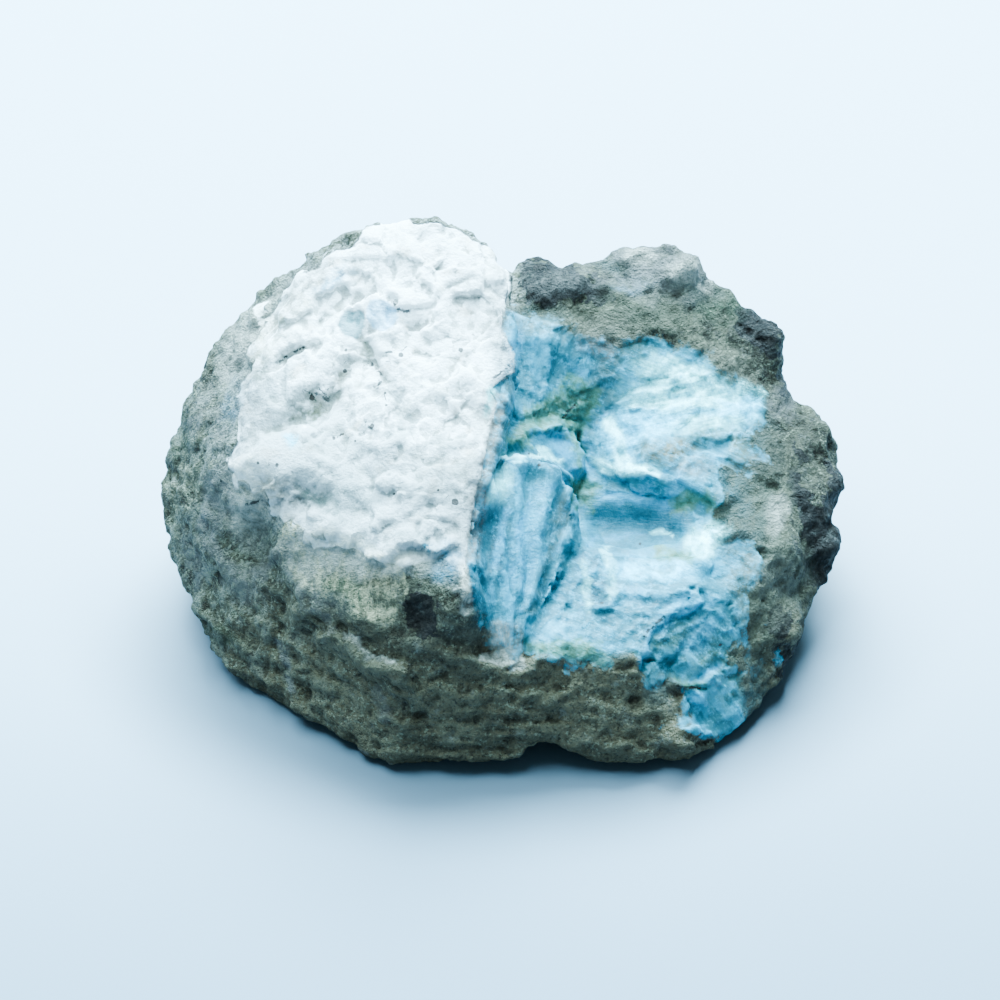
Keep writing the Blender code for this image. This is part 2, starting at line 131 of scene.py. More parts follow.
def flakes(
    points: Array, size: float, seed: float, stretch: tuple[float, float, float] = (1.0, 1.0, 1.0)
) -> tuple[Array, Array]:
    """Read broken flakes: each cell is a flat plane tilted its own way, so edges stand up between cells.

    Args:
        points: One row of millimetres for each place.
        size: Width of a flake.
        seed: Moves the pattern.
        stretch: How much each axis is squeezed, so that flakes can be long.

    Returns:
        Heights of about -0.5 to 0.5, and a tint of -1 to 1 that is the same all over a flake.
    """
    spread = points * np.array(stretch) / size + (seed * 2.9, seed * 5.3, seed * 7.1)
    middles = np.array([tuple(noise.voronoi(place)[1][0]) for place in spread.tolist()])
    turns = np.sin(middles @ np.array(((12.9, 39.3, 73.2), (78.2, 11.1, 52.7), (37.7, 83.1, 9.2))) * 9.7)
    return np.sum((spread - middles) * turns, axis=1), turns[:, 0]


def line_places(line: Sequence[Pixel], pixels: Array) -> tuple[Array, Array, Array]:
    """Find where places lie beside a line drawn by pixels.

    Args:
        line: The line's corners in order.
        pixels: One row of pixel numbers for each place.

    Returns:
        In millimetres: the distance to the line, the distance to its left as it is walked, and how
        far past its ends the place lies.
    """
    nearest = np.full(len(pixels), np.inf)
    side = np.zeros(len(pixels))
    past = np.zeros(len(pixels))
    corners = np.array(line)
    for start, end in zip(corners, corners[1:]):
        length = np.linalg.norm(end - start)
        way = (end - start) / length
        along = (pixels - start) @ way
        left = (pixels - start) @ np.array((way[1], -way[0]))
        over = np.maximum(np.maximum(-along, along - length), 0.0)
        distance = np.hypot(left, over)
        nearer = distance < nearest
        nearest[nearer] = distance[nearer]
        side[nearer] = left[nearer]
        past[nearer] = over[nearer]
    return nearest / VIEW.scale, side / VIEW.scale, past / VIEW.scale


def steps(values: Array, count: float, softness: float = 0.2) -> Array:
    """Cut a smooth field into flat treads with steep risers.

    Args:
        values: The smooth field.
        count: How many treads there are for each unit.
        softness: Share of a tread that the riser takes.

    Returns:
        The stepped field, in the same units.
    """
    scaled = values * count
    whole = np.floor(scaled)
    return (whole + smooth(0.5 - softness, 0.5 + softness, scaled - whole)) / count


@dataclass(frozen=True)
class Viewpoint:
    """The camera, about 45 degrees above the table, and where a place shows in its picture."""

    target: tuple[float, float, float] = (-0.4, -0.6, 14.0)
    distance: float = 406.0
    elevation: float = 45.0
    lens: float = 125.0
    sensor: float = 36.0
    picture: float = 1000.0

    @property
    def tilt(self) -> float:
        """Return the elevation in radians."""
        return math.radians(self.elevation)

    @property
    def forward(self) -> Array:
        """Return the direction of the view."""
        return np.array((0.0, math.cos(self.tilt), -math.sin(self.tilt)))

    @property
    def eye(self) -> Array:
        """Return the camera's place."""
        return np.array(self.target) - self.forward * self.distance

    @property
    def scale(self) -> float:
        """Return how many pixels a millimetre takes at the target."""
        return self.lens / self.sensor * self.picture / self.distance

    def pixels(self, points: Array) -> Array:
        """Return where places show, as rows of pixel columns and rows.

        Args:
            points: One row of millimetres for each place.

        Returns:
            One row of two pixel numbers for each place.
        """
        up = np.array((0.0, math.sin(self.tilt), math.cos(self.tilt)))
        away = points - self.eye
        factor = self.lens / self.sensor * self.picture / (away @ self.forward)
        middle = self.picture / 2.0
        return np.stack((middle + away[:, 0] * factor, middle - (away @ up) * factor), axis=1)

    def facing(self, points: Array, normals: Array) -> Array:
        """Return how squarely each place faces the camera, from -1 to 1."""
        back = self.eye - points
        back /= np.linalg.norm(back, axis=1)[:, None]
        return np.sum(back * normals, axis=1)

    def build(self) -> bpy.types.Object:
        """Add the camera to the scene and return it."""
        bpy.ops.object.camera_add(location=self.eye * MM, rotation=(math.pi / 2 - self.tilt, 0.0, 0.0))
        camera = bpy.context.object
        camera.data.lens = self.lens
        camera.data.sensor_width = self.sensor
        camera.data.clip_start = 0.01
        bpy.context.scene.camera = camera
        return camera


VIEW = Viewpoint()


@dataclass(frozen=True)
class Outline:
    """A patch on the stone, drawn round by pixels."""

    corners: tuple[Pixel, ...]

    def inside(self, pixels: Array) -> Array:
        """Return how far inside the outline each place is, in millimetres, negative outside.

        Args:
            pixels: One row of pixel numbers for each place.

        Returns:
            One signed distance for each place.
        """
        nearest = np.full(len(pixels), np.inf)
        within = np.zeros(len(pixels), bool)
        u, v = pixels[:, 0], pixels[:, 1]
        for (u0, v0), (u1, v1) in zip(self.corners, self.corners[1:] + self.corners[:1]):
            du, dv = u1 - u0, v1 - v0
            along = np.clip(((u - u0) * du + (v - v0) * dv) / (du * du + dv * dv), 0.0, 1.0)
            nearest = np.minimum(nearest, np.hypot(u - u0 - along * du, v - v0 - along * dv))
            if v0 != v1:
                crosses = (v0 > v) != (v1 > v)
                within ^= crosses & (u < u0 + (v - v0) * du / dv)
        return np.where(within, nearest, -nearest) / VIEW.scale


@dataclass(frozen=True)
class Stain:
    """A soft-edged tint on the stone: an oval placed, sized and turned in pixels."""

    place: Pixel
    radii: Pixel
    colour: Colour
    strength: float = 0.8
    turn: float = 0.0
    soft: float = 0.5

    def cover(self, pixels: Array) -> Array:
        """Return how strongly the stain covers each place, 0 to its strength."""
        angle = math.radians(self.turn)
        u, v = pixels[:, 0] - self.place[0], pixels[:, 1] - self.place[1]
        across = (u * math.cos(angle) + v * math.sin(angle)) / self.radii[0]
        down = (v * math.cos(angle) - u * math.sin(angle)) / self.radii[1]
        return self.strength * smooth(1.0 + self.soft, 1.0 - self.soft, np.hypot(across, down))


class FoldKind(Enum):
    """How the surface goes at a fold."""

    RIDGE = "ridge"
    GROOVE = "groove"
    LEDGE = "ledge"


@dataclass(frozen=True)
class Fold:
    """A line on the stone along which the surface stands up, sinks or breaks off."""

    line: tuple[Pixel, ...]
    height: float
    width: float
    kind: FoldKind = FoldKind.GROOVE

    def lift(self, pixels: Array) -> Array:
        """Return how far the fold lifts each place, in millimetres.

        Args:
            pixels: One row of pixel numbers for each place.

        Returns:
            One height for each place; a ledge is high to the left of the line as it is walked.
        """
        nearest, side, past = line_places(self.line, pixels)
        if self.kind is FoldKind.LEDGE:
            top = smooth(-0.2, 0.15, side) * smooth(self.width, 0.0, side)
            under = np.exp(-((side + 0.8) / 0.7) ** 2)
            return self.height * (top - 0.4 * under) * smooth(1.6, 0.2, past)
        sign = 1.0 if self.kind is FoldKind.RIDGE else -1.0
        return sign * self.height * np.exp(-(nearest / self.width) ** 2)


@dataclass(frozen=True)
class Swell:
    """A soft mound or, with a height below 0, a hollow: an oval placed, sized and turned in pixels."""

    place: Pixel
    radii: Pixel
    height: float
    turn: float = 0.0

    def lift(self, pixels: Array) -> Array:
        """Return how far the swell lifts each place, in millimetres."""
        angle = math.radians(self.turn)
        u, v = pixels[:, 0] - self.place[0], pixels[:, 1] - self.place[1]
        across = (u * math.cos(angle) + v * math.sin(angle)) / self.radii[0]
        down = (v * math.cos(angle) - u * math.sin(angle)) / self.radii[1]
        return self.height * np.maximum(1.0 - across ** 2 - down ** 2, 0.0) ** 1.5


@dataclass(frozen=True)
class Band:
    """A soft-edged streak of colour along a line of pixels, its half width in millimetres."""

    line: tuple[Pixel, ...]
    width: float
    colour: Colour
    strength: float = 0.8

    def cover(self, pixels: Array) -> Array:
        """Return how strongly the band covers each place, 0 to its strength."""
        nearest, _, _ = line_places(self.line, pixels)
        return self.strength * smooth(1.5 * self.width, 0.5 * self.width, nearest)


@dataclass(frozen=True)
class Crack:
    """A hairline or a row of specks between two pixels."""

    start: Pixel
    end: Pixel


@dataclass(frozen=True)
class Speck:
    """A small round mark: a pixel, and a radius in millimetres."""

    place: Pixel
    radius: float


class Region(Enum):
    """The main patches of the stone, each kept as a field on the mesh."""

    CRUST = "crust"
    BLUE = "blue"
    CREAM = "cream"
    CHARCOAL = "charcoal"
    GREEN = "green"


WHITE_EDGE: tuple[Pixel, ...] = (
    (507, 262), (509, 290), (501, 328), (512, 352), (514, 370), (491, 388), (496, 402), (488, 440), (479, 480),
    (471, 520), (466, 560), (465, 612),
)

OUTLINES: dict[Region, tuple[Outline, ...]] = {
    Region.CRUST: (
        Outline((
            (507, 262), (490, 243), (458, 231), (430, 221), (398, 215), (366, 227), (338, 244), (312, 261),
            (290, 278), (264, 306), (250, 336), (244, 372), (238, 402), (231, 436), (227, 462), (240, 484),
            (262, 496), (284, 508), (300, 530), (330, 545), (360, 556), (396, 566), (425, 562), (444, 556),
            (456, 566), (465, 576), (467, 556), (471, 520), (479, 480), (488, 440), (498, 402), (490, 388),
            (516, 371), (514, 352), (500, 328), (510, 290),
        )),
    ),
    Region.BLUE: (
        Outline((
            (498, 305), (530, 318), (560, 322), (590, 338), (620, 345), (650, 340), (690, 350), (720, 370),
            (755, 395), (768, 420), (760, 450), (742, 470), (728, 500), (738, 530), (758, 560), (756, 600),
            (750, 640), (757, 680), (750, 715), (730, 738), (705, 745), (680, 722), (655, 700), (640, 680),
            (636, 655), (610, 660), (570, 662), (535, 655), (520, 640), (512, 658), (490, 640), (475, 600),
            (466, 575), (470, 520), (478, 480), (487, 440), (495, 402), (490, 388), (508, 372), (500, 330),
        )),
    ),
    Region.CREAM: (
        Outline((
            (286, 512), (330, 540), (365, 560), (400, 572), (404, 598), (388, 622), (352, 618), (322, 602),
            (300, 586), (286, 560),
        )),
    ),
    Region.CHARCOAL: (
        Outline((
            (513, 268), (522, 261), (545, 259), (570, 262), (582, 271), (602, 280), (616, 291), (612, 301),
            (598, 305), (584, 299), (568, 297), (552, 307), (538, 299), (524, 288), (511, 280),
        )),
        Outline(((454, 233), (464, 232), (476, 240), (474, 249), (462, 246))),
        Outline(((738, 314), (752, 304), (770, 316), (778, 334), (776, 350), (760, 344), (746, 332))),
        Outline(((784, 362), (793, 370), (795, 392), (786, 388))),
        Outline((
            (786, 480), (798, 477), (810, 498), (822, 512), (832, 470), (843, 480), (844, 540), (841, 578),
            (828, 590), (812, 582), (800, 562), (805, 534), (790, 508),
        )),
        Outline(((768, 612), (778, 607), (787, 620), (784, 638), (772, 629))),
        Outline(((774, 655), (790, 640), (804, 644), (798, 668), (785, 684), (775, 676))),
        Outline(((798, 450), (806, 452), (807, 463), (799, 462))),
        Outline(((402, 604), (418, 594), (437, 600), (440, 622), (426, 640), (408, 630))),
    ),
    Region.GREEN: (
        Outline((
            (524, 418), (540, 402), (556, 390), (584, 382), (602, 388), (598, 408), (586, 414), (581, 436),
            (590, 455), (584, 470), (576, 460), (572, 440), (556, 428), (538, 434), (512, 448), (510, 440),
        )),
        Outline(((570, 483), (586, 477), (601, 484), (597, 497), (584, 506), (572, 500))),
        Outline(((652, 552), (676, 553), (693, 556), (690, 561), (664, 560))),
        Outline(((674, 500), (684, 495), (692, 503), (686, 514), (676, 513))),
        Outline(((699, 502), (708, 499), (714, 508), (706, 514))),
        Outline(((528, 646), (560, 642), (600, 648), (630, 658), (610, 664), (560, 662), (530, 656))),
        Outline(((672, 684), (690, 680), (706, 686), (700, 692), (684, 694))),
    ),
}

TEAL_CHIP = Outline((
    (340, 316), (345, 308), (353, 311), (359, 309), (365, 313), (366, 324), (362, 333), (357, 341),
    (349, 338), (341, 334), (337, 325),
))
SHELL_CHIP = Outline((
    (367, 305), (372, 298), (386, 300), (396, 308), (399, 318), (392, 328), (382, 332), (372, 328), (366, 316),
))
FAN = Outline((
    (474, 590), (478, 540), (484, 500), (494, 468), (505, 458), (540, 460), (566, 474), (573, 490), (572, 530),
    (556, 580), (540, 620), (518, 652), (500, 646), (482, 624),
))
POOL = Outline(((572, 504), (600, 492), (650, 494), (688, 502), (694, 520), (690, 556), (650, 558), (600, 556),
                (578, 548)))
REAR_WALL = Outline(((500, 308), (560, 322), (592, 345), (600, 385), (560, 400), (520, 420), (500, 400)))
UPPER_PANEL = Outline(((506, 438), (545, 432), (572, 440), (580, 470), (560, 474), (530, 458), (506, 458)))
TERRACE = Outline((
    (596, 430), (606, 408), (640, 386), (684, 370), (722, 384), (750, 404), (752, 428), (720, 442), (690, 436),
    (650, 436), (640, 452), (652, 470), (626, 476), (604, 460),
))
GRANULAR_SHELF = Outline((
    (530, 640), (560, 612), (600, 606), (660, 612), (700, 606), (706, 640), (660, 662), (620, 660), (560, 662),
))
TEAL_FACE = Outline((
    (640, 650), (700, 612), (742, 600), (754, 650), (758, 690), (744, 724), (716, 744), (690, 724), (656, 700),
))
DARK_HOLLOW = Outline(((240, 506), (262, 496), (284, 508), (290, 540), (282, 570), (262, 576), (246, 556), (236, 530)))

FOLDS = (
    # White block: the valley across it, flake edges, and the ridge above the broken front
    Fold(((364, 339), (361, 361), (345, 371), (337, 387), (324, 403), (311, 414), (295, 428), (268, 433),
          (249, 438), (238, 457)), 1.2, 1.4),
    Fold(((361, 363), (372, 367), (380, 377), (378, 385), (370, 393)), 0.4, 0.5),
    Fold(((276, 364), (290, 354), (303, 347), (318, 342)), 0.7, 3.0, FoldKind.LEDGE),
    Fold(((398, 300), (404, 309), (399, 322), (392, 331), (380, 334)), 0.6, 2.5, FoldKind.LEDGE),
    Fold(((424, 284), (436, 296), (440, 318), (430, 332)), 0.5, 2.6, FoldKind.LEDGE),
    Fold(((488, 398), (483, 385), (461, 371), (452, 380), (440, 384)), 0.6, 3.4, FoldKind.LEDGE),
    Fold(((376, 300), (352, 306), (338, 318)), 0.5, 2.4, FoldKind.LEDGE),
    Fold(((420, 420), (402, 436), (380, 440), (356, 436)), 0.5, 3.0, FoldKind.LEDGE),
    Fold(((448, 470), (424, 486), (398, 480), (378, 492)), 0.6, 3.0, FoldKind.LEDGE),
    Fold(((300, 320), (318, 300), (344, 284)), 0.6, 3.0, FoldKind.LEDGE),
    Fold(((252, 452), (276, 446), (300, 450), (330, 462)), 0.6, 2.4, FoldKind.RIDGE),
    Fold(((295, 532), (337, 529), (378, 535), (399, 540)), 0.6, 1.4, FoldKind.RIDGE),
    Fold(((378, 560), (410, 548), (432, 556), (452, 548)), 0.8, 2.0, FoldKind.LEDGE),
    Fold(((470, 560), (482, 480), (494, 404)), 0.5, 0.7, FoldKind.GROOVE),
    # Broken front: the rim of the dark hollow, and the ledges under the block and the fan
    Fold(((202, 527), (213, 546), (228, 568), (245, 579), (260, 572), (286, 550)), 0.6, 1.4, FoldKind.RIDGE),
    Fold(((288, 553), (297, 577), (301, 603), (321, 618), (332, 633)), 0.5, 1.1, FoldKind.RIDGE),
    Fold(((416, 679), (405, 670), (392, 663), (375, 663), (371, 657), (358, 644), (345, 637), (326, 630)),
         0.9, 3.4, FoldKind.LEDGE),
    Fold(((530, 662), (520, 666), (505, 664), (488, 659), (468, 653), (449, 650)), 0.7, 3.0, FoldKind.LEDGE),
    Fold(((470, 690), (440, 686), (418, 690), (396, 684)), 0.5, 2.6, FoldKind.LEDGE),
    Fold(((560, 690), (530, 694), (500, 688), (478, 692)), 0.5, 2.6, FoldKind.LEDGE),
    Fold(((420, 722), (400, 726), (384, 716)), 0.5, 2.6, FoldKind.LEDGE),
    Fold(((560, 722), (520, 726), (484, 718), (452, 722)), 0.5, 2.4, FoldKind.LEDGE),
    Fold(((644, 744), (624, 740), (606, 742)), 0.5, 2.2, FoldKind.LEDGE),
    Fold(((714, 732), (700, 724), (682, 728)), 0.5, 1.8, FoldKind.LEDGE),
    Fold(((716, 748), (700, 742), (682, 744)), 0.5, 1.6, FoldKind.LEDGE),
    Fold(((330, 676), (306, 668), (284, 672)), 0.4, 2.4, FoldKind.LEDGE),
    Fold(((350, 716), (326, 704), (306, 702)), 0.4, 2.4, FoldKind.LEDGE),
    # Blue face
    Fold(((572, 500), (569, 480), (560, 469), (552, 460), (538, 457), (530, 461), (504, 457)),
         1.1, 2.6, FoldKind.LEDGE),
    Fold(((508, 470), (506, 520), (498, 570), (492, 620)), 0.44, 1.1, FoldKind.RIDGE),
    Fold(((552, 474), (548, 530), (534, 590), (520, 640)), 0.39, 1.0, FoldKind.RIDGE),
    Fold(((571, 500), (560, 560), (540, 620), (528, 656)), 1.0, 0.8),
    Fold(((481, 461), (488, 430), (500, 400)), 0.33, 0.6, FoldKind.RIDGE),
    Fold(((582, 436), (587, 456), (590, 478)), 1.2, 1.1, FoldKind.RIDGE),
    Fold(((506, 450), (528, 436), (570, 431)), 0.6, 2.0, FoldKind.LEDGE),
    Fold(((654, 474), (632, 467), (616, 448), (611, 423)), 0.8, 1.6, FoldKind.LEDGE),
    Fold(((577, 500), (604, 495), (640, 500), (672, 492)), 0.35, 2.2, FoldKind.LEDGE),
    Fold(((694, 556), (660, 560), (630, 558), (606, 548), (586, 560), (574, 584)), 0.39, 2.4, FoldKind.RIDGE),
    Fold(((672, 572), (650, 576), (632, 574)), 0.5, 1.6, FoldKind.LEDGE),
    Fold(((596, 548), (602, 572), (604, 590)), 0.22, 0.7, FoldKind.RIDGE),
    Fold(((608, 604), (640, 596), (680, 596), (700, 588)), 0.6, 2.0, FoldKind.LEDGE),
    Fold(((740, 530), (718, 534), (700, 548), (690, 560)), 0.8, 2.4, FoldKind.LEDGE),
    Fold(((640, 664), (664, 622), (700, 606)), 0.8, 2.8, FoldKind.LEDGE),
    Fold(((718, 666), (704, 680), (680, 684)), 0.9, 2.0, FoldKind.LEDGE),
    Fold(((690, 690), (686, 702), (696, 712), (712, 706)), 0.33, 1.2, FoldKind.RIDGE),
    Fold(((754, 442), (734, 430), (696, 431)), 0.7, 2.4, FoldKind.LEDGE),
    Fold(((758, 404), (720, 398), (680, 404), (640, 412)), 0.5, 2.4, FoldKind.LEDGE),
    Fold(((700, 372), (660, 386), (626, 400)), 0.6, 2.6, FoldKind.LEDGE),
    Fold(((524, 342), (522, 370), (516, 392)), 0.33, 0.6, FoldKind.RIDGE),
    Fold(((540, 330), (538, 384)), 0.5, 0.5),
    Fold(((560, 334), (556, 386)), 0.5, 0.6),
    # Rock behind and beside
    Fold(((513, 288), (540, 306), (558, 309), (582, 302)), 0.9, 2.2, FoldKind.GROOVE),
    Fold(((600, 262), (640, 270), (664, 300)), 0.6, 2.0),
    Fold(((796, 480), (806, 530), (814, 580)), 0.4, 2.0),
)
SWELLS = (
    Swell((290, 455), (62, 36), 0.9),
    Swell((258, 534), (30, 34), -0.35, 20.0),
    Swell((322, 500), (34, 18), -0.7, 10.0),
    Swell((316, 400), (22, 14), -0.7, -30.0),
    Swell((425, 520), (40, 40), 0.5),
    Swell((430, 260), (60, 24), 0.5),
    Swell((350, 324), (14, 16), -0.5),
    Swell((626, 524), (62, 26), -0.7, 4.0),
    Swell((666, 512), (22, 18), -0.8, 30.0),
    Swell((632, 444), (20, 24), -1.1),
    Swell((545, 358), (30, 36), -0.7),
    Swell((600, 566), (22, 24), 0.9),
    Swell((556, 594), (13, 14), -0.9),
    Swell((604, 598), (9, 5), -0.7),
    Swell((605, 622), (13, 8), -0.7),
    Swell((586, 490), (14, 7), -0.8),
    Swell((677, 668), (15, 12), -1.0),
    Swell((694, 687), (20, 5), -1.2, 4.0),
    Swell((700, 701), (14, 10), 0.9),
    Swell((560, 412), (34, 16), -0.5, -16.0),
    Swell((716, 544), (24, 12), 0.8, -28.0),
    Swell((690, 380), (52, 22), 0.6, 12.0),
    Swell((684, 507), (9, 9), -0.6),
    Swell((706, 507), (8, 7), -0.6),
    Swell((420, 616), (26, 18), -0.6),
    Swell((560, 284), (44, 18), 0.7),
    Swell((832, 560), (26, 52), 1.1),
    Swell((757, 330), (20, 20), -0.7),
    Swell((692, 264), (14, 12), 0.7),
)

CRACKS = (
    Crack((386, 353), (410, 348)),
    Crack((390, 299), (401, 311)),
    Crack((401, 311), (409, 312)),
    Crack((275, 364), (304, 347)),
    Crack((358, 365), (372, 364)),
    Crack((372, 364), (382, 375)),
    Crack((382, 375), (377, 388)),
    Crack((306, 391), (317, 400)),
    Crack((316, 392), (328, 402)),
    Crack((324, 385), (331, 396)),
    Crack((364, 420), (373, 431)),
    Crack((246, 505), (262, 500)),
    Crack((217, 465), (222, 482)),
    Crack((576, 404), (560, 420)),
    Crack((592, 600), (606, 604)),
    Crack((676, 686), (706, 689)),
    Crack((640, 640), (664, 616)),
    Crack((493, 378), (510, 366)),
)
SPECKS = (
    Speck((461, 350), 0.28),
    Speck((345, 371), 0.24),
    Speck((385, 393), 0.14),
    Speck((386, 405), 0.16),
    Speck((334, 438), 0.2),
    Speck((343, 434), 0.16),
    Speck((355, 441), 0.14),
    Speck((346, 350), 0.18),
    Speck((455, 502), 0.42),
    Speck((258, 463), 0.18),
    Speck((277, 465), 0.22),
    Speck((438, 490), 0.14),
    Speck((394, 494), 0.14),
    Speck((401, 355), 0.3),
    Speck((372, 426), 0.28),
    Speck((312, 398), 0.34),
    Speck((539, 465), 0.2),
    Speck((529, 454), 0.12),
    Speck((720, 645), 0.2),
    Speck((640, 544), 0.16),
)

# Colours, named for what they are on the stone
DEEP_BLUE = shown(88, 160, 180)
MID_BLUE = shown(113, 188, 203)
TEAL_BLUE = shown(120, 172, 174)
PALE_BLUE = shown(143, 213, 228)
ICE = shown(222, 249, 252)
BRIGHT_CYAN = shown(174, 236, 244)
GREY_BLUE = shown(142, 174, 178)
LAVENDER = shown(178, 194, 198)
OLIVE = shown(86, 124, 104)
LIME = shown(134, 170, 156)
SAGE = shown(150, 172, 164)
PINK_BEIGE = shown(168, 184, 180)
CHALK = shown(222, 232, 233)
TAN = shown(158, 176, 170)
RUST = shown(120, 122, 104)
PURPLE_BLACK = shown(52, 58, 62)
DARK_OLIVE = shown(74, 88, 80)

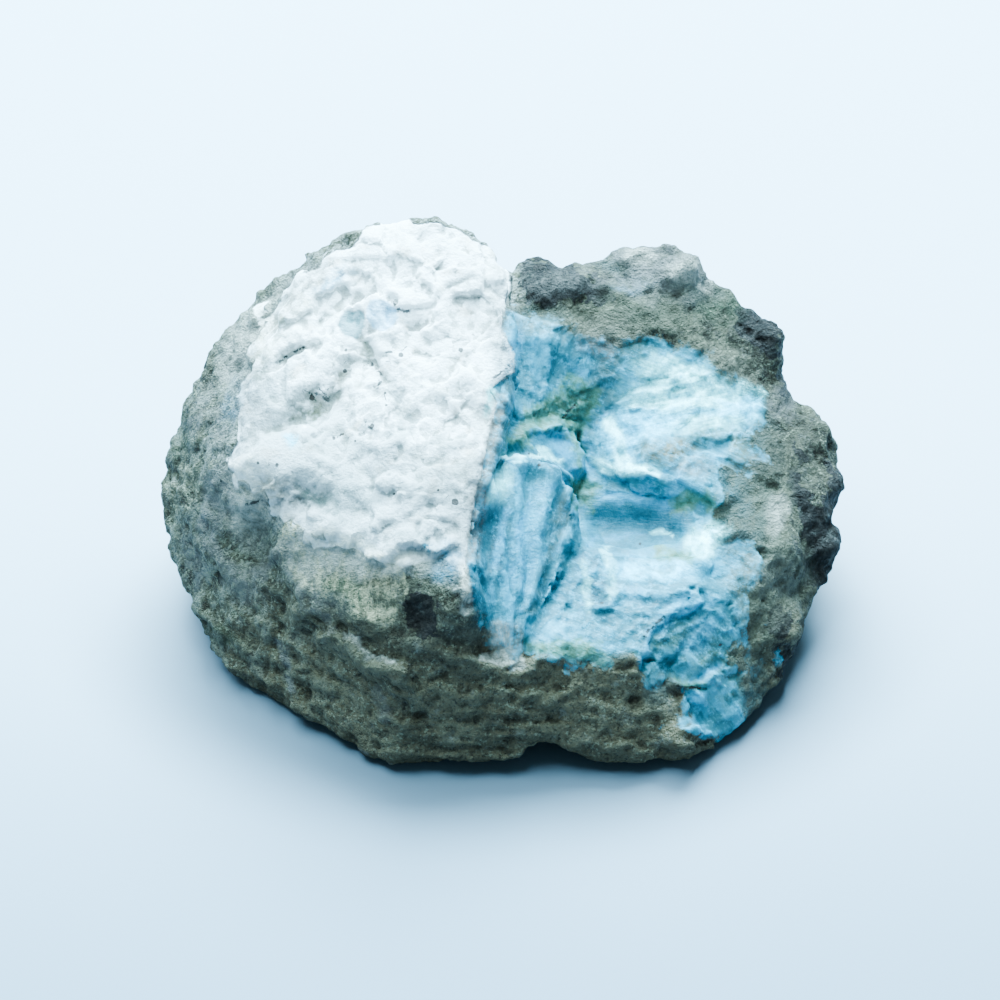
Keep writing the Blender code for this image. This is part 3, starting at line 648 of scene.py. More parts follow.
STAINS: tuple[Stain | Band, ...] = (
    # Blue face, back to front
    Stain((530, 360), (32, 42), MID_BLUE, 0.8),
    Stain((560, 350), (14, 34), DEEP_BLUE, 0.35),
    Stain((515, 345), (8, 20), PALE_BLUE, 0.6, 8.0),
    Stain((505, 318), (12, 12), DEEP_BLUE, 0.5),
    Stain((600, 345), (24, 14), LAVENDER, 0.6),
    Stain((636, 352), (16, 12), TEAL_BLUE, 0.7),
    Stain((650, 370), (22, 14), MID_BLUE, 0.6),
    Stain((606, 380), (16, 26), GREY_BLUE, 0.6),
    Stain((590, 420), (10, 24), LIME, 0.35),
    Stain((690, 400), (56, 28), ICE, 1.0, 6.0),
    Stain((640, 432), (34, 24), BRIGHT_CYAN, 0.8, -18.0),
    Stain((676, 376), (36, 14), ICE, 0.9, 14.0),
    Stain((740, 402), (20, 14), BRIGHT_CYAN, 0.8, 20.0),
    Stain((728, 440), (30, 12), TEAL_BLUE, 0.8, 14.0),
    Stain((668, 449), (30, 14), TAN, 1.0, -6.0),
    Stain((690, 470), (20, 10), LAVENDER, 0.5),
    Stain((622, 466), (26, 7), ICE, 0.8, 14.0),
    Stain((560, 445), (22, 12), PALE_BLUE, 0.5, 10.0),
    Stain((530, 446), (22, 9), MID_BLUE, 0.5),
    Stain((575, 470), (12, 10), PALE_BLUE, 0.7),
    Stain((586, 452), (9, 26), PALE_BLUE, 0.7, -8.0),
    Stain((498, 440), (9, 62), GREY_BLUE, 0.75, 10.0),
    Stain((489, 400), (5, 16), ICE, 0.7, 10.0),
    Stain((524, 466), (24, 4), DEEP_BLUE, 0.85, 2.0),
    Stain((556, 474), (14, 4), DEEP_BLUE, 0.6, 24.0),
    Stain((500, 486), (9, 20), ICE, 0.85, 22.0),
    Stain((520, 500), (10, 30), MID_BLUE, 0.5, 12.0),
    Stain((490, 560), (18, 60), DEEP_BLUE, 0.9, 8.0),
    Stain((522, 560), (16, 40), PALE_BLUE, 0.5, 14.0),
    Stain((548, 540), (12, 46), MID_BLUE, 0.5, 14.0),
    Stain((562, 520), (7, 38), GREY_BLUE, 0.6, 10.0),
    Stain((496, 604), (18, 24), MID_BLUE, 0.5),
    Stain((508, 640), (16, 18), LAVENDER, 0.5),
    Stain((620, 516), (52, 16), DEEP_BLUE, 0.6, 4.0),
    Stain((666, 520), (26, 24), DEEP_BLUE, 0.9, 30.0),
    Stain((620, 540), (50, 14), MID_BLUE, 0.7, 4.0),
    Stain((630, 498), (44, 4), PALE_BLUE, 0.5, 4.0),
    Stain((672, 494), (10, 18), PALE_BLUE, 0.6, 30.0),
    Stain((640, 546), (50, 7), MID_BLUE, 0.6),
    Stain((600, 564), (30, 24), DEEP_BLUE, 0.75, -34.0),
    Stain((650, 572), (48, 9), BRIGHT_CYAN, 0.8, 2.0),
    Stain((590, 594), (24, 18), DEEP_BLUE, 0.6),
    Stain((556, 592), (14, 14), DEEP_BLUE, 0.55),
    Stain((604, 616), (16, 7), DEEP_BLUE, 0.6),
    Stain((645, 600), (50, 14), DEEP_BLUE, 0.6),
    Stain((690, 606), (26, 10), PALE_BLUE, 0.6, -20.0),
    Stain((630, 634), (70, 14), DEEP_BLUE, 0.7, -4.0),
    Stain((600, 646), (60, 9), MID_BLUE, 0.5, -2.0),
    Stain((596, 628), (66, 24), MID_BLUE, 0.6),
    Stain((540, 618), (20, 26), MID_BLUE, 0.6),
    Stain((560, 636), (34, 12), MID_BLUE, 0.5, 14.0),
    Stain((710, 540), (22, 12), ICE, 0.9, -24.0),
    Stain((740, 500), (14, 24), GREY_BLUE, 0.6),
    Stain((724, 484), (22, 14), MID_BLUE, 0.6),
    Stain((738, 560), (20, 26), GREY_BLUE, 0.7),
    Stain((716, 580), (26, 18), MID_BLUE, 0.6),
    Stain((744, 470), (16, 24), SAGE, 0.6),
    Stain((718, 508), (20, 12), SAGE, 0.55, 10.0),
    Stain((744, 600), (12, 26), SAGE, 0.5),
    Stain((766, 540), (16, 40), GREY_BLUE, 0.5),
    Stain((768, 440), (14, 26), GREY_BLUE, 0.4),
    Stain((750, 530), (26, 90), GREY_BLUE, 0.45),
    Stain((690, 650), (44, 34), TEAL_BLUE, 0.85, -20.0),
    Stain((672, 664), (16, 14), MID_BLUE, 0.6),
    Stain((728, 690), (24, 34), TEAL_BLUE, 0.8),
    Stain((740, 712), (12, 24), MID_BLUE, 0.6, 20.0),
    Stain((697, 700), (10, 9), PALE_BLUE, 0.8),
    Stain((678, 690), (20, 5), DARK_OLIVE, 0.6, 6.0),
    Stain((660, 690), (14, 18), GREY_BLUE, 0.6, 40.0),
    Stain((700, 634), (12, 24), PALE_BLUE, 0.5, 50.0),
    # White block
    Stain((470, 300), (22, 50), LAVENDER, 0.25, 6.0),
    Stain((254, 490), (24, 36), CHALK, 0.6, -20.0),
    Stain((286, 496), (34, 18), LAVENDER, 0.7, 20.0),
    Stain((240, 520), (14, 30), CHALK, 0.5, -30.0),
    Stain((322, 480), (30, 20), GREY_BLUE, 0.35),
    Stain((352, 498), (24, 14), TEAL_BLUE, 0.35, -10.0),
    Stain((316, 498), (16, 9), TEAL_BLUE, 0.4, 10.0),
    Stain((334, 516), (12, 9), GREY_BLUE, 0.5),
    Stain((412, 534), (20, 10), GREY_BLUE, 0.35, 10.0),
    Stain((292, 442), (8, 5), BRIGHT_CYAN, 0.7),
    Stain((312, 446), (18, 9), LIME, 0.3),
    Stain((440, 470), (34, 30), PINK_BEIGE, 0.25),
    Stain((314, 414), (9, 7), OLIVE, 0.6, -20.0),
    Stain((300, 410), (26, 12), PINK_BEIGE, 0.4, -20.0),
    Stain((330, 396), (22, 12), PINK_BEIGE, 0.4),
    Stain((352, 358), (30, 8), PINK_BEIGE, 0.3),
    Stain((240, 350), (34, 16), LAVENDER, 0.6, -58.0),
    Stain((276, 318), (16, 10), CHALK, 0.6, -40.0),
    Stain((330, 280), (26, 8), PALE_BLUE, 0.6, -34.0),
    Stain((262, 350), (14, 9), LIME, 0.6, -30.0),
    Stain((222, 420), (10, 30), LAVENDER, 0.5, 10.0),
    Stain((232, 400), (9, 26), PALE_BLUE, 0.2, 14.0),
    # Broken front of the white block
    Stain((256, 530), (26, 26), SAGE, 0.3),
    Stain((264, 512), (16, 8), PURPLE_BLACK, 0.2),
    Stain((376, 580), (20, 12), RUST, 0.55, 10.0),
    Stain((342, 590), (22, 20), LIME, 0.4, 40.0),
    Stain((350, 556), (46, 16), CHALK, 0.7, 12.0),
    Stain((306, 560), (16, 26), CHALK, 0.5, -16.0),
    Stain((326, 600), (22, 10), LAVENDER, 0.5, 30.0),
    Stain((436, 600), (44, 30), DARK_OLIVE, 0.15, -10.0),
    Stain((350, 620), (30, 12), DARK_OLIVE, 0.4, 24.0),
    Stain((422, 618), (22, 18), PURPLE_BLACK, 0.2, 20.0),
    Stain((424, 548), (14, 6), DEEP_BLUE, 0.9, -20.0),
    Stain((446, 560), (18, 20), PALE_BLUE, 0.5, 30.0),
    Band(((463, 566), (466, 590), (466, 612)), 0.5, CHALK, 0.8),
    Band(((500, 400), (492, 440), (484, 480), (477, 520), (472, 556)), 0.8, LAVENDER, 0.75),
    # The valley's grey-green: the crust's own tint, with painted shade along the crease.
    Band(((364, 339), (361, 361), (345, 371), (337, 387), (324, 403), (311, 414), (295, 428), (268, 433)),
         0.9, SAGE, 0.4),
    Band(((382, 376), (378, 386), (370, 393)), 0.4, SAGE, 0.4),
    Stain((400, 640), (22, 14), DARK_OLIVE, 0.5),
    Stain((430, 552), (8, 5), DEEP_BLUE, 0.7),
    Stain((470, 640), (18, 12), PINK_BEIGE, 0.4),
    Stain((178, 440), (12, 26), OLIVE, 0.5, 20.0),
    Stain((200, 410), (8, 26), LAVENDER, 0.5, 20.0),
    Stain((190, 560), (10, 34), LAVENDER, 0.4, -10.0),
    Stain((212, 632), (11, 10), OLIVE, 0.6, 20.0),
    Stain((230, 640), (11, 8), OLIVE, 0.55),
    Band(((500, 270), (502, 300), (494, 330), (504, 356)), 1.0, LAVENDER, 0.5),
    Band(((484, 400), (478, 440), (470, 480), (462, 520), (458, 560)), 1.2, LAVENDER, 0.4),
    Band(((504, 460), (530, 464), (538, 460), (552, 463), (560, 472), (569, 486)), 0.35, DEEP_BLUE, 0.95),
    Band(((503, 455), (520, 456), (538, 453), (556, 456)), 0.3, ICE, 0.7),
    Band(((506, 512), (500, 540), (492, 566)), 0.4, PALE_BLUE, 0.6),
    Band(((526, 500), (520, 540), (514, 572)), 0.35, PALE_BLUE, 0.7),
    Band(((560, 500), (548, 560), (532, 610)), 0.7, GREY_BLUE, 0.5),
    Band(((611, 423), (616, 448), (632, 466), (653, 472)), 0.6, ICE, 0.9),
    Band(((637, 407), (680, 396), (720, 392), (758, 391)), 0.7, ICE, 0.8),
    Band(((650, 424), (690, 416), (730, 414)), 0.5, BRIGHT_CYAN, 0.7),
    Band(((577, 496), (606, 490), (640, 494)), 0.5, PALE_BLUE, 0.7),
    Band(((652, 532), (664, 534), (676, 540)), 0.15, ICE, 0.6),
    Band(((586, 540), (612, 532), (640, 536)), 0.25, PALE_BLUE, 0.5),
    Band(((656, 556), (676, 558), (694, 558)), 0.25, DARK_OLIVE, 0.8),
    Band(((632, 574), (652, 572), (672, 569)), 0.3, LIME, 0.6),
    Band(((696, 432), (720, 430), (740, 434), (753, 442)), 0.3, DARK_OLIVE, 0.5),
    Band(((582, 560), (590, 580), (584, 600)), 0.4, ICE, 0.5),
    Band(((604, 552), (610, 576), (612, 594)), 0.4, ICE, 0.4),
    Band(((718, 662), (706, 672), (690, 680)), 0.4, PALE_BLUE, 0.8),
    Band(((640, 664), (652, 640), (668, 620), (700, 606)), 0.5, PALE_BLUE, 0.5),
    Band(((202, 527), (213, 546), (228, 568), (245, 579), (260, 572), (286, 548)), 1.1, LAVENDER, 0.45),
    Band(((288, 553), (297, 577), (301, 603), (321, 618), (332, 633)), 0.5, LAVENDER, 0.4),
    Stain((268, 330), (26, 60), CHALK, 0.5, 40.0),
    Stain((246, 380), (18, 40), LAVENDER, 0.4, 12.0),
    Stain((300, 286), (30, 12), LAVENDER, 0.6, -38.0),
    Stain((268, 372), (18, 12), OLIVE, 0.5, -40.0),
    Stain((284, 322), (14, 8), OLIVE, 0.5, -40.0),
    Stain((252, 418), (16, 26), LAVENDER, 0.5),
    Stain((216, 500), (14, 40), LAVENDER, 0.5, 8.0),
    Stain((240, 590), (24, 14), LAVENDER, 0.35, 20.0),
    Stain((330, 540), (36, 14), CHALK, 0.6, 10.0),
    Stain((400, 560), (40, 10), CHALK, 0.5, 4.0),
    Band(((220, 480), (212, 500), (206, 524)), 0.6, LAVENDER, 0.5),
    Band(((345, 636), (358, 642), (371, 655), (392, 662)), 0.3, CHALK, 0.5),
    Band(((484, 656), (505, 661), (522, 662)), 0.35, CHALK, 0.6),
    Band(((376, 690), (380, 706), (384, 722)), 0.5, LAVENDER, 0.3),
    Band(((276, 644), (284, 652), (290, 664)), 0.4, LAVENDER, 0.6),
    Band(((286, 678), (292, 690)), 0.4, LAVENDER, 0.6),
    Band(((355, 754), (372, 764), (400, 768), (430, 768)), 0.3, LAVENDER, 0.6),
    Band(((498, 628), (500, 650)), 0.9, CHALK, 0.5),
    Band(((516, 628), (514, 652)), 0.6, GREY_BLUE, 0.5),
    # Basalt behind and beside the blue face
    Stain((560, 322), (60, 14), SAGE, 0.5, 4.0),
    Stain((610, 330), (34, 14), PINK_BEIGE, 0.5, 6.0),
    Stain((730, 366), (34, 10), PINK_BEIGE, 0.5, 30.0),
    Stain((690, 265), (12, 12), CHALK, 0.6, -20.0),
    Stain((650, 300), (44, 30), SAGE, 0.7),
    Stain((640, 284), (22, 8), PALE_BLUE, 0.45),
    Stain((716, 300), (30, 20), LIME, 0.5, 30.0),
    Stain((668, 280), (50, 22), LAVENDER, 0.8, 10.0),
    Stain((690, 286), (24, 12), LIME, 0.4),
    Stain((650, 262), (60, 24), LAVENDER, 0.95, 4.0),
    Stain((570, 282), (34, 12), LAVENDER, 0.3),
    Stain((612, 268), (18, 7), TEAL_BLUE, 0.35, 8.0),
    Stain((640, 258), (20, 7), CHALK, 0.6, -6.0),
    Stain((706, 286), (10, 8), CHALK, 0.6, 30.0),
    Stain((688, 272), (14, 12), CHALK, 0.7, -20.0),
    Stain((758, 616), (16, 52), SAGE, 0.7),
    Stain((754, 690), (14, 34), GREY_BLUE, 0.7),
    Stain((772, 500), (18, 60), SAGE, 0.5),
    Stain((798, 446), (24, 44), DARK_OLIVE, 0.35, -10.0),
    Stain((782, 400), (14, 18), LAVENDER, 0.5, -30.0),
    Stain((776, 520), (10, 20), CHALK, 0.4, 10.0),
    # Painted light: a lighter patch on the low right rock, which faces away from the lamps.
    Stain((780, 576), (20, 18), CHALK, 0.35, 20.0),
    Stain((770, 460), (22, 26), DARK_OLIVE, 0.4),
    # Painted light: two more lighter patches on the same low right rock.
    Stain((782, 574), (26, 36), SAGE, 0.7),
    Stain((776, 590), (28, 40), PINK_BEIGE, 0.3),
    Stain((760, 660), (14, 40), SAGE, 0.4),
)


@dataclass
class StoneShape:
    """The stone's fine surface, worked over a copy of the solid's skin."""

    clay: float = 0.33
    soften: int = 7
    triangles: int = 192000
    border_wobble: tuple[float, float] = (9.0, 3.5)
    basalt_nodules: tuple[float, float] = (2.1, 0.5)
    basalt_grain: tuple[float, float] = (0.85, 0.22)
    basalt_pits: tuple[float, float] = (3.0, 0.6)
    flank_ribs: tuple[float, float] = (1.7, 0.4)
    bed_spacing: float = 1.7
    bed_depth: float = 0.22
    crust_chips: tuple[float, float] = (4.4, 0.36)
    crust_crumbs: tuple[float, float] = (1.0, 0.11)
    crust_rise: float = 0.35
    blue_flakes: tuple[float, float] = (3.4, 0.3)
    blue_chips: tuple[float, float] = (1.5, 0.15)
    fibre_pitch: float = 0.75
    fibre_depth: float = 0.11
    shelf_grain: tuple[float, float] = (0.8, 0.26)
    chip_drop: float = 0.2
    fan_root: Pixel = (512.0, 690.0)
    floor_guard: float = 0.9
    spike: float = 0.45
    stone: bpy.types.Object | None = field(default=None, init=False)

    def apply(self, kind: str, **settings: object) -> None:
        """Add one modifier to the stone and apply it.

        Args:
            kind: The modifier's type.
            **settings: Its named values.
        """
        modifier = self.stone.modifiers.new(kind.lower(), kind)
        for name, value in settings.items():
            setattr(modifier, name, value)
        bpy.ops.object.modifier_apply(modifier=modifier.name)

    def take_copy(self) -> None:
        """Copy the solid, merge its loose triangles and give it an even skin."""
        bpy.ops.object.select_all(action="DESELECT")
        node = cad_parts[NODE]
        self.stone = node.copy()
        self.stone.data = node.data.copy()
        self.stone.name = "larimar_stone"
        for key in list(self.stone.keys()):
            del self.stone[key]
        self.stone.parent = None
        self.stone.data.materials.clear()
        bpy.context.scene.collection.objects.link(self.stone)
        bpy.context.view_layer.objects.active = self.stone
        self.stone.select_set(True)
        bpy.ops.object.mode_set(mode="EDIT")
        bpy.ops.mesh.select_all(action="SELECT")
        bpy.ops.mesh.remove_doubles(threshold=1e-6)
        bpy.ops.object.mode_set(mode="OBJECT")
        self.apply("REMESH", mode="VOXEL", voxel_size=self.clay * MM)
        self.apply("SMOOTH", factor=0.5, iterations=self.soften)

    def read(self) -> tuple[Array, Array]:
        """Return the vertices in millimetres, and their normals."""
        mesh = self.stone.data
        points = np.empty(len(mesh.vertices) * 3)
        mesh.vertices.foreach_get("co", points)
        normals = np.empty(len(mesh.vertices) * 3)
        mesh.vertex_normals.foreach_get("vector", normals)
        return points.reshape(-1, 3) / MM, normals.reshape(-1, 3)

    def write(self, points: Array) -> None:
        """Put new places into the mesh.

        Args:
            points: One row of millimetres for each vertex.
        """
        self.stone.data.vertices.foreach_set("co", (points * MM).ravel())
        self.stone.data.update()

    def wobbled(self, points: Array) -> Array:
        """Return the places in the picture, moved about so that borders are rough, least at the edge."""
        pixels = VIEW.pixels(points)
        wide, fine = self.border_wobble
        calm = 0.2 + 0.8 * smooth(1.0, 6.0, line_places(WHITE_EDGE, pixels)[0])
        for column, seed in ((0, 11.0), (1, 12.0)):
            stray = wide * waves(points, 3.2, seed) + fine * waves(points, 0.9, seed + 2.0)
            pixels[:, column] += calm * stray
        return pixels

    def regions(self, points: Array, normals: Array) -> dict[Region, Array]:
        """Return how far inside each region every place is, in millimetres.

        Args:
            points: Vertices in millimetres.
            normals: Their normals.

        Returns:
            A signed distance for each region, clipped to a few millimetres.
        """
        pixels = self.wobbled(points)
        facing = VIEW.facing(points, normals)
        seen = (facing - 0.05) * 6.0
        found = {}
        for region, outlines in OUTLINES.items():
            depth = np.max([outline.inside(pixels) for outline in outlines], axis=0)
            limit = seen + (1.5 if region is Region.CRUST else 0.0)
            if region is Region.BLUE:
                limit = np.maximum(limit, np.minimum(6.0 * normals[:, 2] + 0.6, (16.0 - points[:, 1]) * 0.5))
            found[region] = np.minimum(depth + self.looseness(points, pixels, region), limit)
        behind = smooth(0.1, -0.1, facing)
        patches = 3.0 * (waves(points, 9.0, 21.0, 2) - 0.42)
        found[Region.CHARCOAL] = np.maximum(found[Region.CHARCOAL], patches - 4.0 * (1.0 - behind))
        veins = 2.5 * (waves(points * (1.0, 1.0, 2.2), 10.0, 23.0, 2) - 0.64) + 0.05 * (points[:, 2] - 26.0)
        found[Region.CRUST] = np.maximum(found[Region.CRUST], veins - 4.0 * (1.0 - behind))
        return {region: np.clip(depth, -3.0, 3.0) for region, depth in found.items()}

    def looseness(self, points: Array, pixels: Array, region: Region) -> Array:
        """Return how far a border strays in islands and bays, none along the white block's edge."""
        ragged = waves(points, 4.5, 25.0 + list(Region).index(region), 3)
        if region is Region.CRUST:
            return 2.2 * ragged * smooth(430.0, 290.0, pixels[:, 0])
        if region is Region.BLUE:
            return (4.2 * ragged - 0.5) * smooth(560.0, 690.0, pixels[:, 0]) * smooth(340.0, 430.0, pixels[:, 1])
        return 0.8 * ragged

    def basalt(self, points: Array, normals: Array) -> Array:
        """Return the relief of the grey-green rock: nodules, grain, pits and bedding on the front."""
        near, _ = cells(points, self.basalt_nodules[0], 1.0)
        relief = self.basalt_nodules[1] * (0.55 - near)
        relief += self.basalt_grain[1] * waves(points, self.basalt_grain[0], 2.0, 2)
        hole, _ = cells(points, self.basalt_pits[0], 3.0)
        pitted = smooth(-0.1, 0.3, waves(points, 7.0, 4.0))
        relief -= self.basalt_pits[1] * smooth(0.42, 0.15, hole) * pitted
        relief += self.flank_ribs[1] * waves(points * (1.0, 1.0, 0.35), self.flank_ribs[0], 29.0, 2) * smooth(-14.0, -24.0, points[:, 0])
        front = smooth(0.2, 0.6, -normals[:, 1]) * smooth(15.0, 12.5, points[:, 2])
        level = points[:, 2] + 0.06 * points[:, 0] + 1.3 * waves(points * (0.5, 0.5, 1.0), 4.0, 5.0, 2)
        tread = (level / self.bed_spacing) % 1.0
        beds = tread * smooth(1.0, 0.8, tread) - 0.4
        broken = smooth(-0.3, 0.3, waves(points * (0.6, 1.0, 1.6), 4.0, 6.0))
        return relief + self.bed_depth * beds * front * broken

    def crust(self, points: Array) -> Array:
        """Return the relief of the white crust: flat chips with small scarps, and crumbs."""
        bent = points + 0.8 * waves(points, 2.0, 7.0)[:, None]
        relief = self.crust_chips[1] * flakes(bent, self.crust_chips[0], 8.0)[0]
        relief += 0.4 * self.crust_chips[1] * flakes(bent, self.crust_chips[0] * 0.4, 9.0)[0]
        relief += 0.7 * steps(waves(points, 7.5, 17.0, 2), 2.2, 0.1)
        crumbly = smooth(-0.1, 0.4, waves(points, 6.0, 9.0))
        relief += self.crust_crumbs[1] * waves(points, self.crust_crumbs[0], 10.0, 2) * (0.35 + crumbly)
        return relief + self.crust_rise

    def fibre_places(self, pixels: Array) -> Array:
        """Return places across and along the fibres, in millimetres, for the ridges and streaks.

        Args:
            pixels: Where each vertex shows in the picture.

        Returns:
            Rows of across, along and a third number that differs between the bundles.
        """
        u, v = pixels[:, 0] - self.fan_root[0], self.fan_root[1] - pixels[:, 1]
        radius = np.hypot(u, v)
        result = np.stack((np.arctan2(u, v) * 150.0, radius, np.zeros(len(u))), axis=1)
        bundles = (
            (REAR_WALL, 84.0, 1.0),
            (UPPER_PANEL, 60.0, 2.0),
            (POOL, 4.0, 3.0),
            (TERRACE, -14.0, 4.0),
            (TEAL_FACE, 52.0, 5.0),
            (GRANULAR_SHELF, 20.0, 6.0),
        )
        outside = FAN.inside(pixels) < 0.0
        angle = math.radians(24.0)
        plain = np.stack((
            u * math.sin(angle) + v * math.cos(angle),
            u * math.cos(angle) - v * math.sin(angle),
            np.full(len(u), 9.0 * VIEW.scale),
        ), axis=1)
        result[outside] = plain[outside]
        for outline, degrees, number in bundles:
            angle = math.radians(degrees)
            held = outside & (outline.inside(pixels) > 0.0)
            turned = np.stack((
                u * math.sin(angle) + v * math.cos(angle),
                u * math.cos(angle) - v * math.sin(angle),
                np.full(len(u), number * VIEW.scale),
            ), axis=1)
            result[held] = turned[held]
        return result / VIEW.scale

    def blue(self, points: Array, pixels: Array) -> Array:
        """Return the relief of the blue face: splinters, fibres on the fan and grain on the shelf."""
        places = self.fibre_places(pixels)
        bent = places + 0.4 * waves(points, 1.6, 13.0)[:, None]
        relief = self.blue_flakes[1] * flakes(bent, self.blue_flakes[0], 11.0, (1.0, 0.4, 1.0))[0]
        relief += 0.3 * self.blue_flakes[1] * flakes(bent, self.blue_flakes[0] * 0.4, 12.0, (1.0, 0.5, 1.0))[0]
        relief += self.blue_chips[1] * flakes(points, self.blue_chips[0], 27.0)[0]
        relief += 0.4 * self.blue_chips[1] * waves(points, 0.6 * self.blue_chips[0], 28.0, 2)
        ridges = waves(places * (1.0 / self.fibre_pitch, 0.16, 1.0), 1.0, 14.0, 2)
        fan = smooth(-0.3, 0.6, FAN.inside(pixels))
        relief = relief * (1.0 - 0.6 * fan) + self.fibre_depth * ridges * (0.5 + fan)
        shelf = smooth(-0.5, 0.8, GRANULAR_SHELF.inside(pixels))
        relief += self.shelf_grain[1] * shelf * waves(points, self.shelf_grain[0], 15.0, 2)
        pool = smooth(0.0, 1.0, POOL.inside(pixels))
        return relief * (1.0 - 0.75 * pool)

    def by_hand(self, pixels: Array, facing: Array) -> Array:
        """Return the relief of the folds and swells, on the side that the camera sees."""
        lift = np.sum([form.lift(pixels) for form in (*FOLDS, *SWELLS)], axis=0)
        return lift * smooth(-0.15, 0.1, facing)

    def sculpt(self) -> None:
        """Work the fine relief into the skin, region by region."""
        points, normals = self.read()
        regions = self.regions(points, normals)
        pixels = VIEW.pixels(points)
        relief = self.basalt(points, normals)
        cream = smooth(-0.3, 0.5, regions[Region.CREAM])
        fibrous = 0.16 * waves(points * (1.6, 0.6, 0.6), 1.0, 16.0, 2) + 0.12 * waves(points, 0.8, 18.0, 2)
        relief += (0.3 * relief + fibrous - relief) * cream
        blue = smooth(-0.2, 0.3, regions[Region.BLUE])
        relief += (self.blue(points, pixels) - relief) * blue
        crust = smooth(-0.25, 0.25, regions[Region.CRUST])
        white = self.crust(points)
        white -= self.chip_drop * smooth(-0.1, 0.15, TEAL_CHIP.inside(pixels))
        shell = SHELL_CHIP.inside(pixels)
        white += self.chip_drop * smooth(-0.1, 0.1, shell) * smooth(2.4, 0.3, shell)
        relief += (white - relief) * crust
        relief += self.by_hand(self.wobbled(points), VIEW.facing(points, normals)) * (1.0 - 0.45 * blue)
        relief = np.clip(relief, -2.4, 1.5)
        near_floor = smooth(0.0, self.floor_guard, points[:, 2])
        moved = points + normals * (relief * near_floor)[:, None]
        moved[:, 2] = np.maximum(moved[:, 2], 0.0)
        self.write(moved)

    def thin_out(self) -> None:
        """Take faces away where the surface is plain, down to the most that a piece may have."""
        self.stone.data.calc_loop_triangles()
        ratio = self.triangles / len(self.stone.data.loop_triangles)
        if ratio < 1.0:
            self.apply("DECIMATE", ratio=ratio)

    def averaged(self, rows: Array) -> Array:
        """Return, for each vertex, the mean of its neighbours' rows."""
        mesh = self.stone.data
        edges = np.empty(len(mesh.edges) * 2, np.int64)
        mesh.edges.foreach_get("vertices", edges)
        first, second = edges[0::2], edges[1::2]
        total = [
            np.bincount(first, rows[second, axis], len(rows)) + np.bincount(second, rows[first, axis], len(rows))
            for axis in range(3)
        ]
        return np.stack(total, axis=1) / np.bincount(edges, minlength=len(rows))[:, None]

    def settle(self) -> None:
        """Pull back the few vertices that stand out from their neighbours as thin spikes."""
        points, _ = self.read()
        for _ in range(3):
            middle = self.averaged(points)
            out = np.linalg.norm(points - middle, axis=1) > self.spike
            points[out] = middle[out]
        self.write(points)

    def keep(self, name: str, kind: str, key: str, values: Array) -> None:
        """Store one field on the mesh for the material to read.

        Args:
            name: The attribute's name.
            kind: Its data type.
            key: The name of the value inside each item.
            values: One row for each vertex.
        """
        attribute = self.stone.data.attributes.new(name, kind, "POINT")
        attribute.data.foreach_set(key, np.ascontiguousarray(values, np.float32).ravel())

    def paint(self, points: Array, pixels: Array, facing: Array) -> Array:
        """Lay the stains over each other and return their colour and cover at each vertex."""
        colour = np.zeros((len(points), 3))
        cover = np.zeros(len(points))
        seen = smooth(0.02, 0.2, facing)
        for stain in STAINS:
            over = stain.cover(pixels) * seen
            total = over + cover * (1.0 - over)
            share = np.divide(over, total, out=np.zeros_like(over), where=total > 1e-6)
            colour += (np.array(stain.colour) - colour) * share[:, None]
            cover = total
        return np.concatenate((colour, cover[:, None]), axis=1)

    def flake_tints(self, points: Array, places: Array) -> Array:
        """Return a tint of -1 to 1 for each flake of the blue face, large and small together."""
        bent = places + 0.4 * waves(points, 1.6, 13.0)[:, None]
        large = flakes(bent, self.blue_flakes[0], 11.0, (1.0, 0.4, 1.0))[1]
        small = flakes(bent, self.blue_flakes[0] * 0.4, 12.0, (1.0, 0.5, 1.0))[1]
        return 0.55 * large + 0.45 * small

    def hollows(self, points: Array, normals: Array) -> Array:
        """Return how far each place lies below its surroundings, near and wide, in millimetres."""
        level = points
        depths = []
        for rounds in (3, 24):
            for _ in range(rounds):
                level = self.averaged(level)
            depths.append(np.sum((level - points) * normals, axis=1))
        return np.stack((*depths, np.zeros(len(points))), axis=1)

    def crack_places(self, pixels: Array, facing: Array) -> Array:
        """Return each vertex's offset across the nearest crack, its distance past the crack's end."""
        across = np.full(len(pixels), 5.0)
        beyond = np.full(len(pixels), 5.0)
        best = np.full(len(pixels), np.inf)
        for crack in CRACKS:
            start, end = np.array(crack.start), np.array(crack.end)
            length = np.linalg.norm(end - start)
            way = (end - start) / length
            along = (pixels - start) @ way
            side = (pixels - start) @ np.array((-way[1], way[0]))
            past = np.maximum(np.maximum(-along, along - length), 0.0)
            distance = np.hypot(side, past) / VIEW.scale
            nearer = (distance < best) & (distance < 1.6) & (facing > 0.0)
            across[nearer] = side[nearer] / VIEW.scale
            beyond[nearer] = past[nearer] / VIEW.scale
            best[nearer] = distance[nearer]
        return np.stack((across, beyond, np.zeros(len(pixels))), axis=1)

    def speck_places(self, pixels: Array, facing: Array) -> Array:
        """Return each vertex's offset from the nearest speck and the speck's radius."""
        result = np.tile(np.array((5.0, 5.0, 0.2)), (len(pixels), 1))
        best = np.full(len(pixels), np.inf)
        for speck in SPECKS:
            offset = (pixels - np.array(speck.place)) / VIEW.scale
            distance = np.hypot(offset[:, 0], offset[:, 1])
            nearer = (distance < best) & (distance < 1.4) & (facing > 0.0)
            result[nearer, :2] = offset[nearer]
            result[nearer, 2] = speck.radius
            best[nearer] = distance[nearer]
        return result

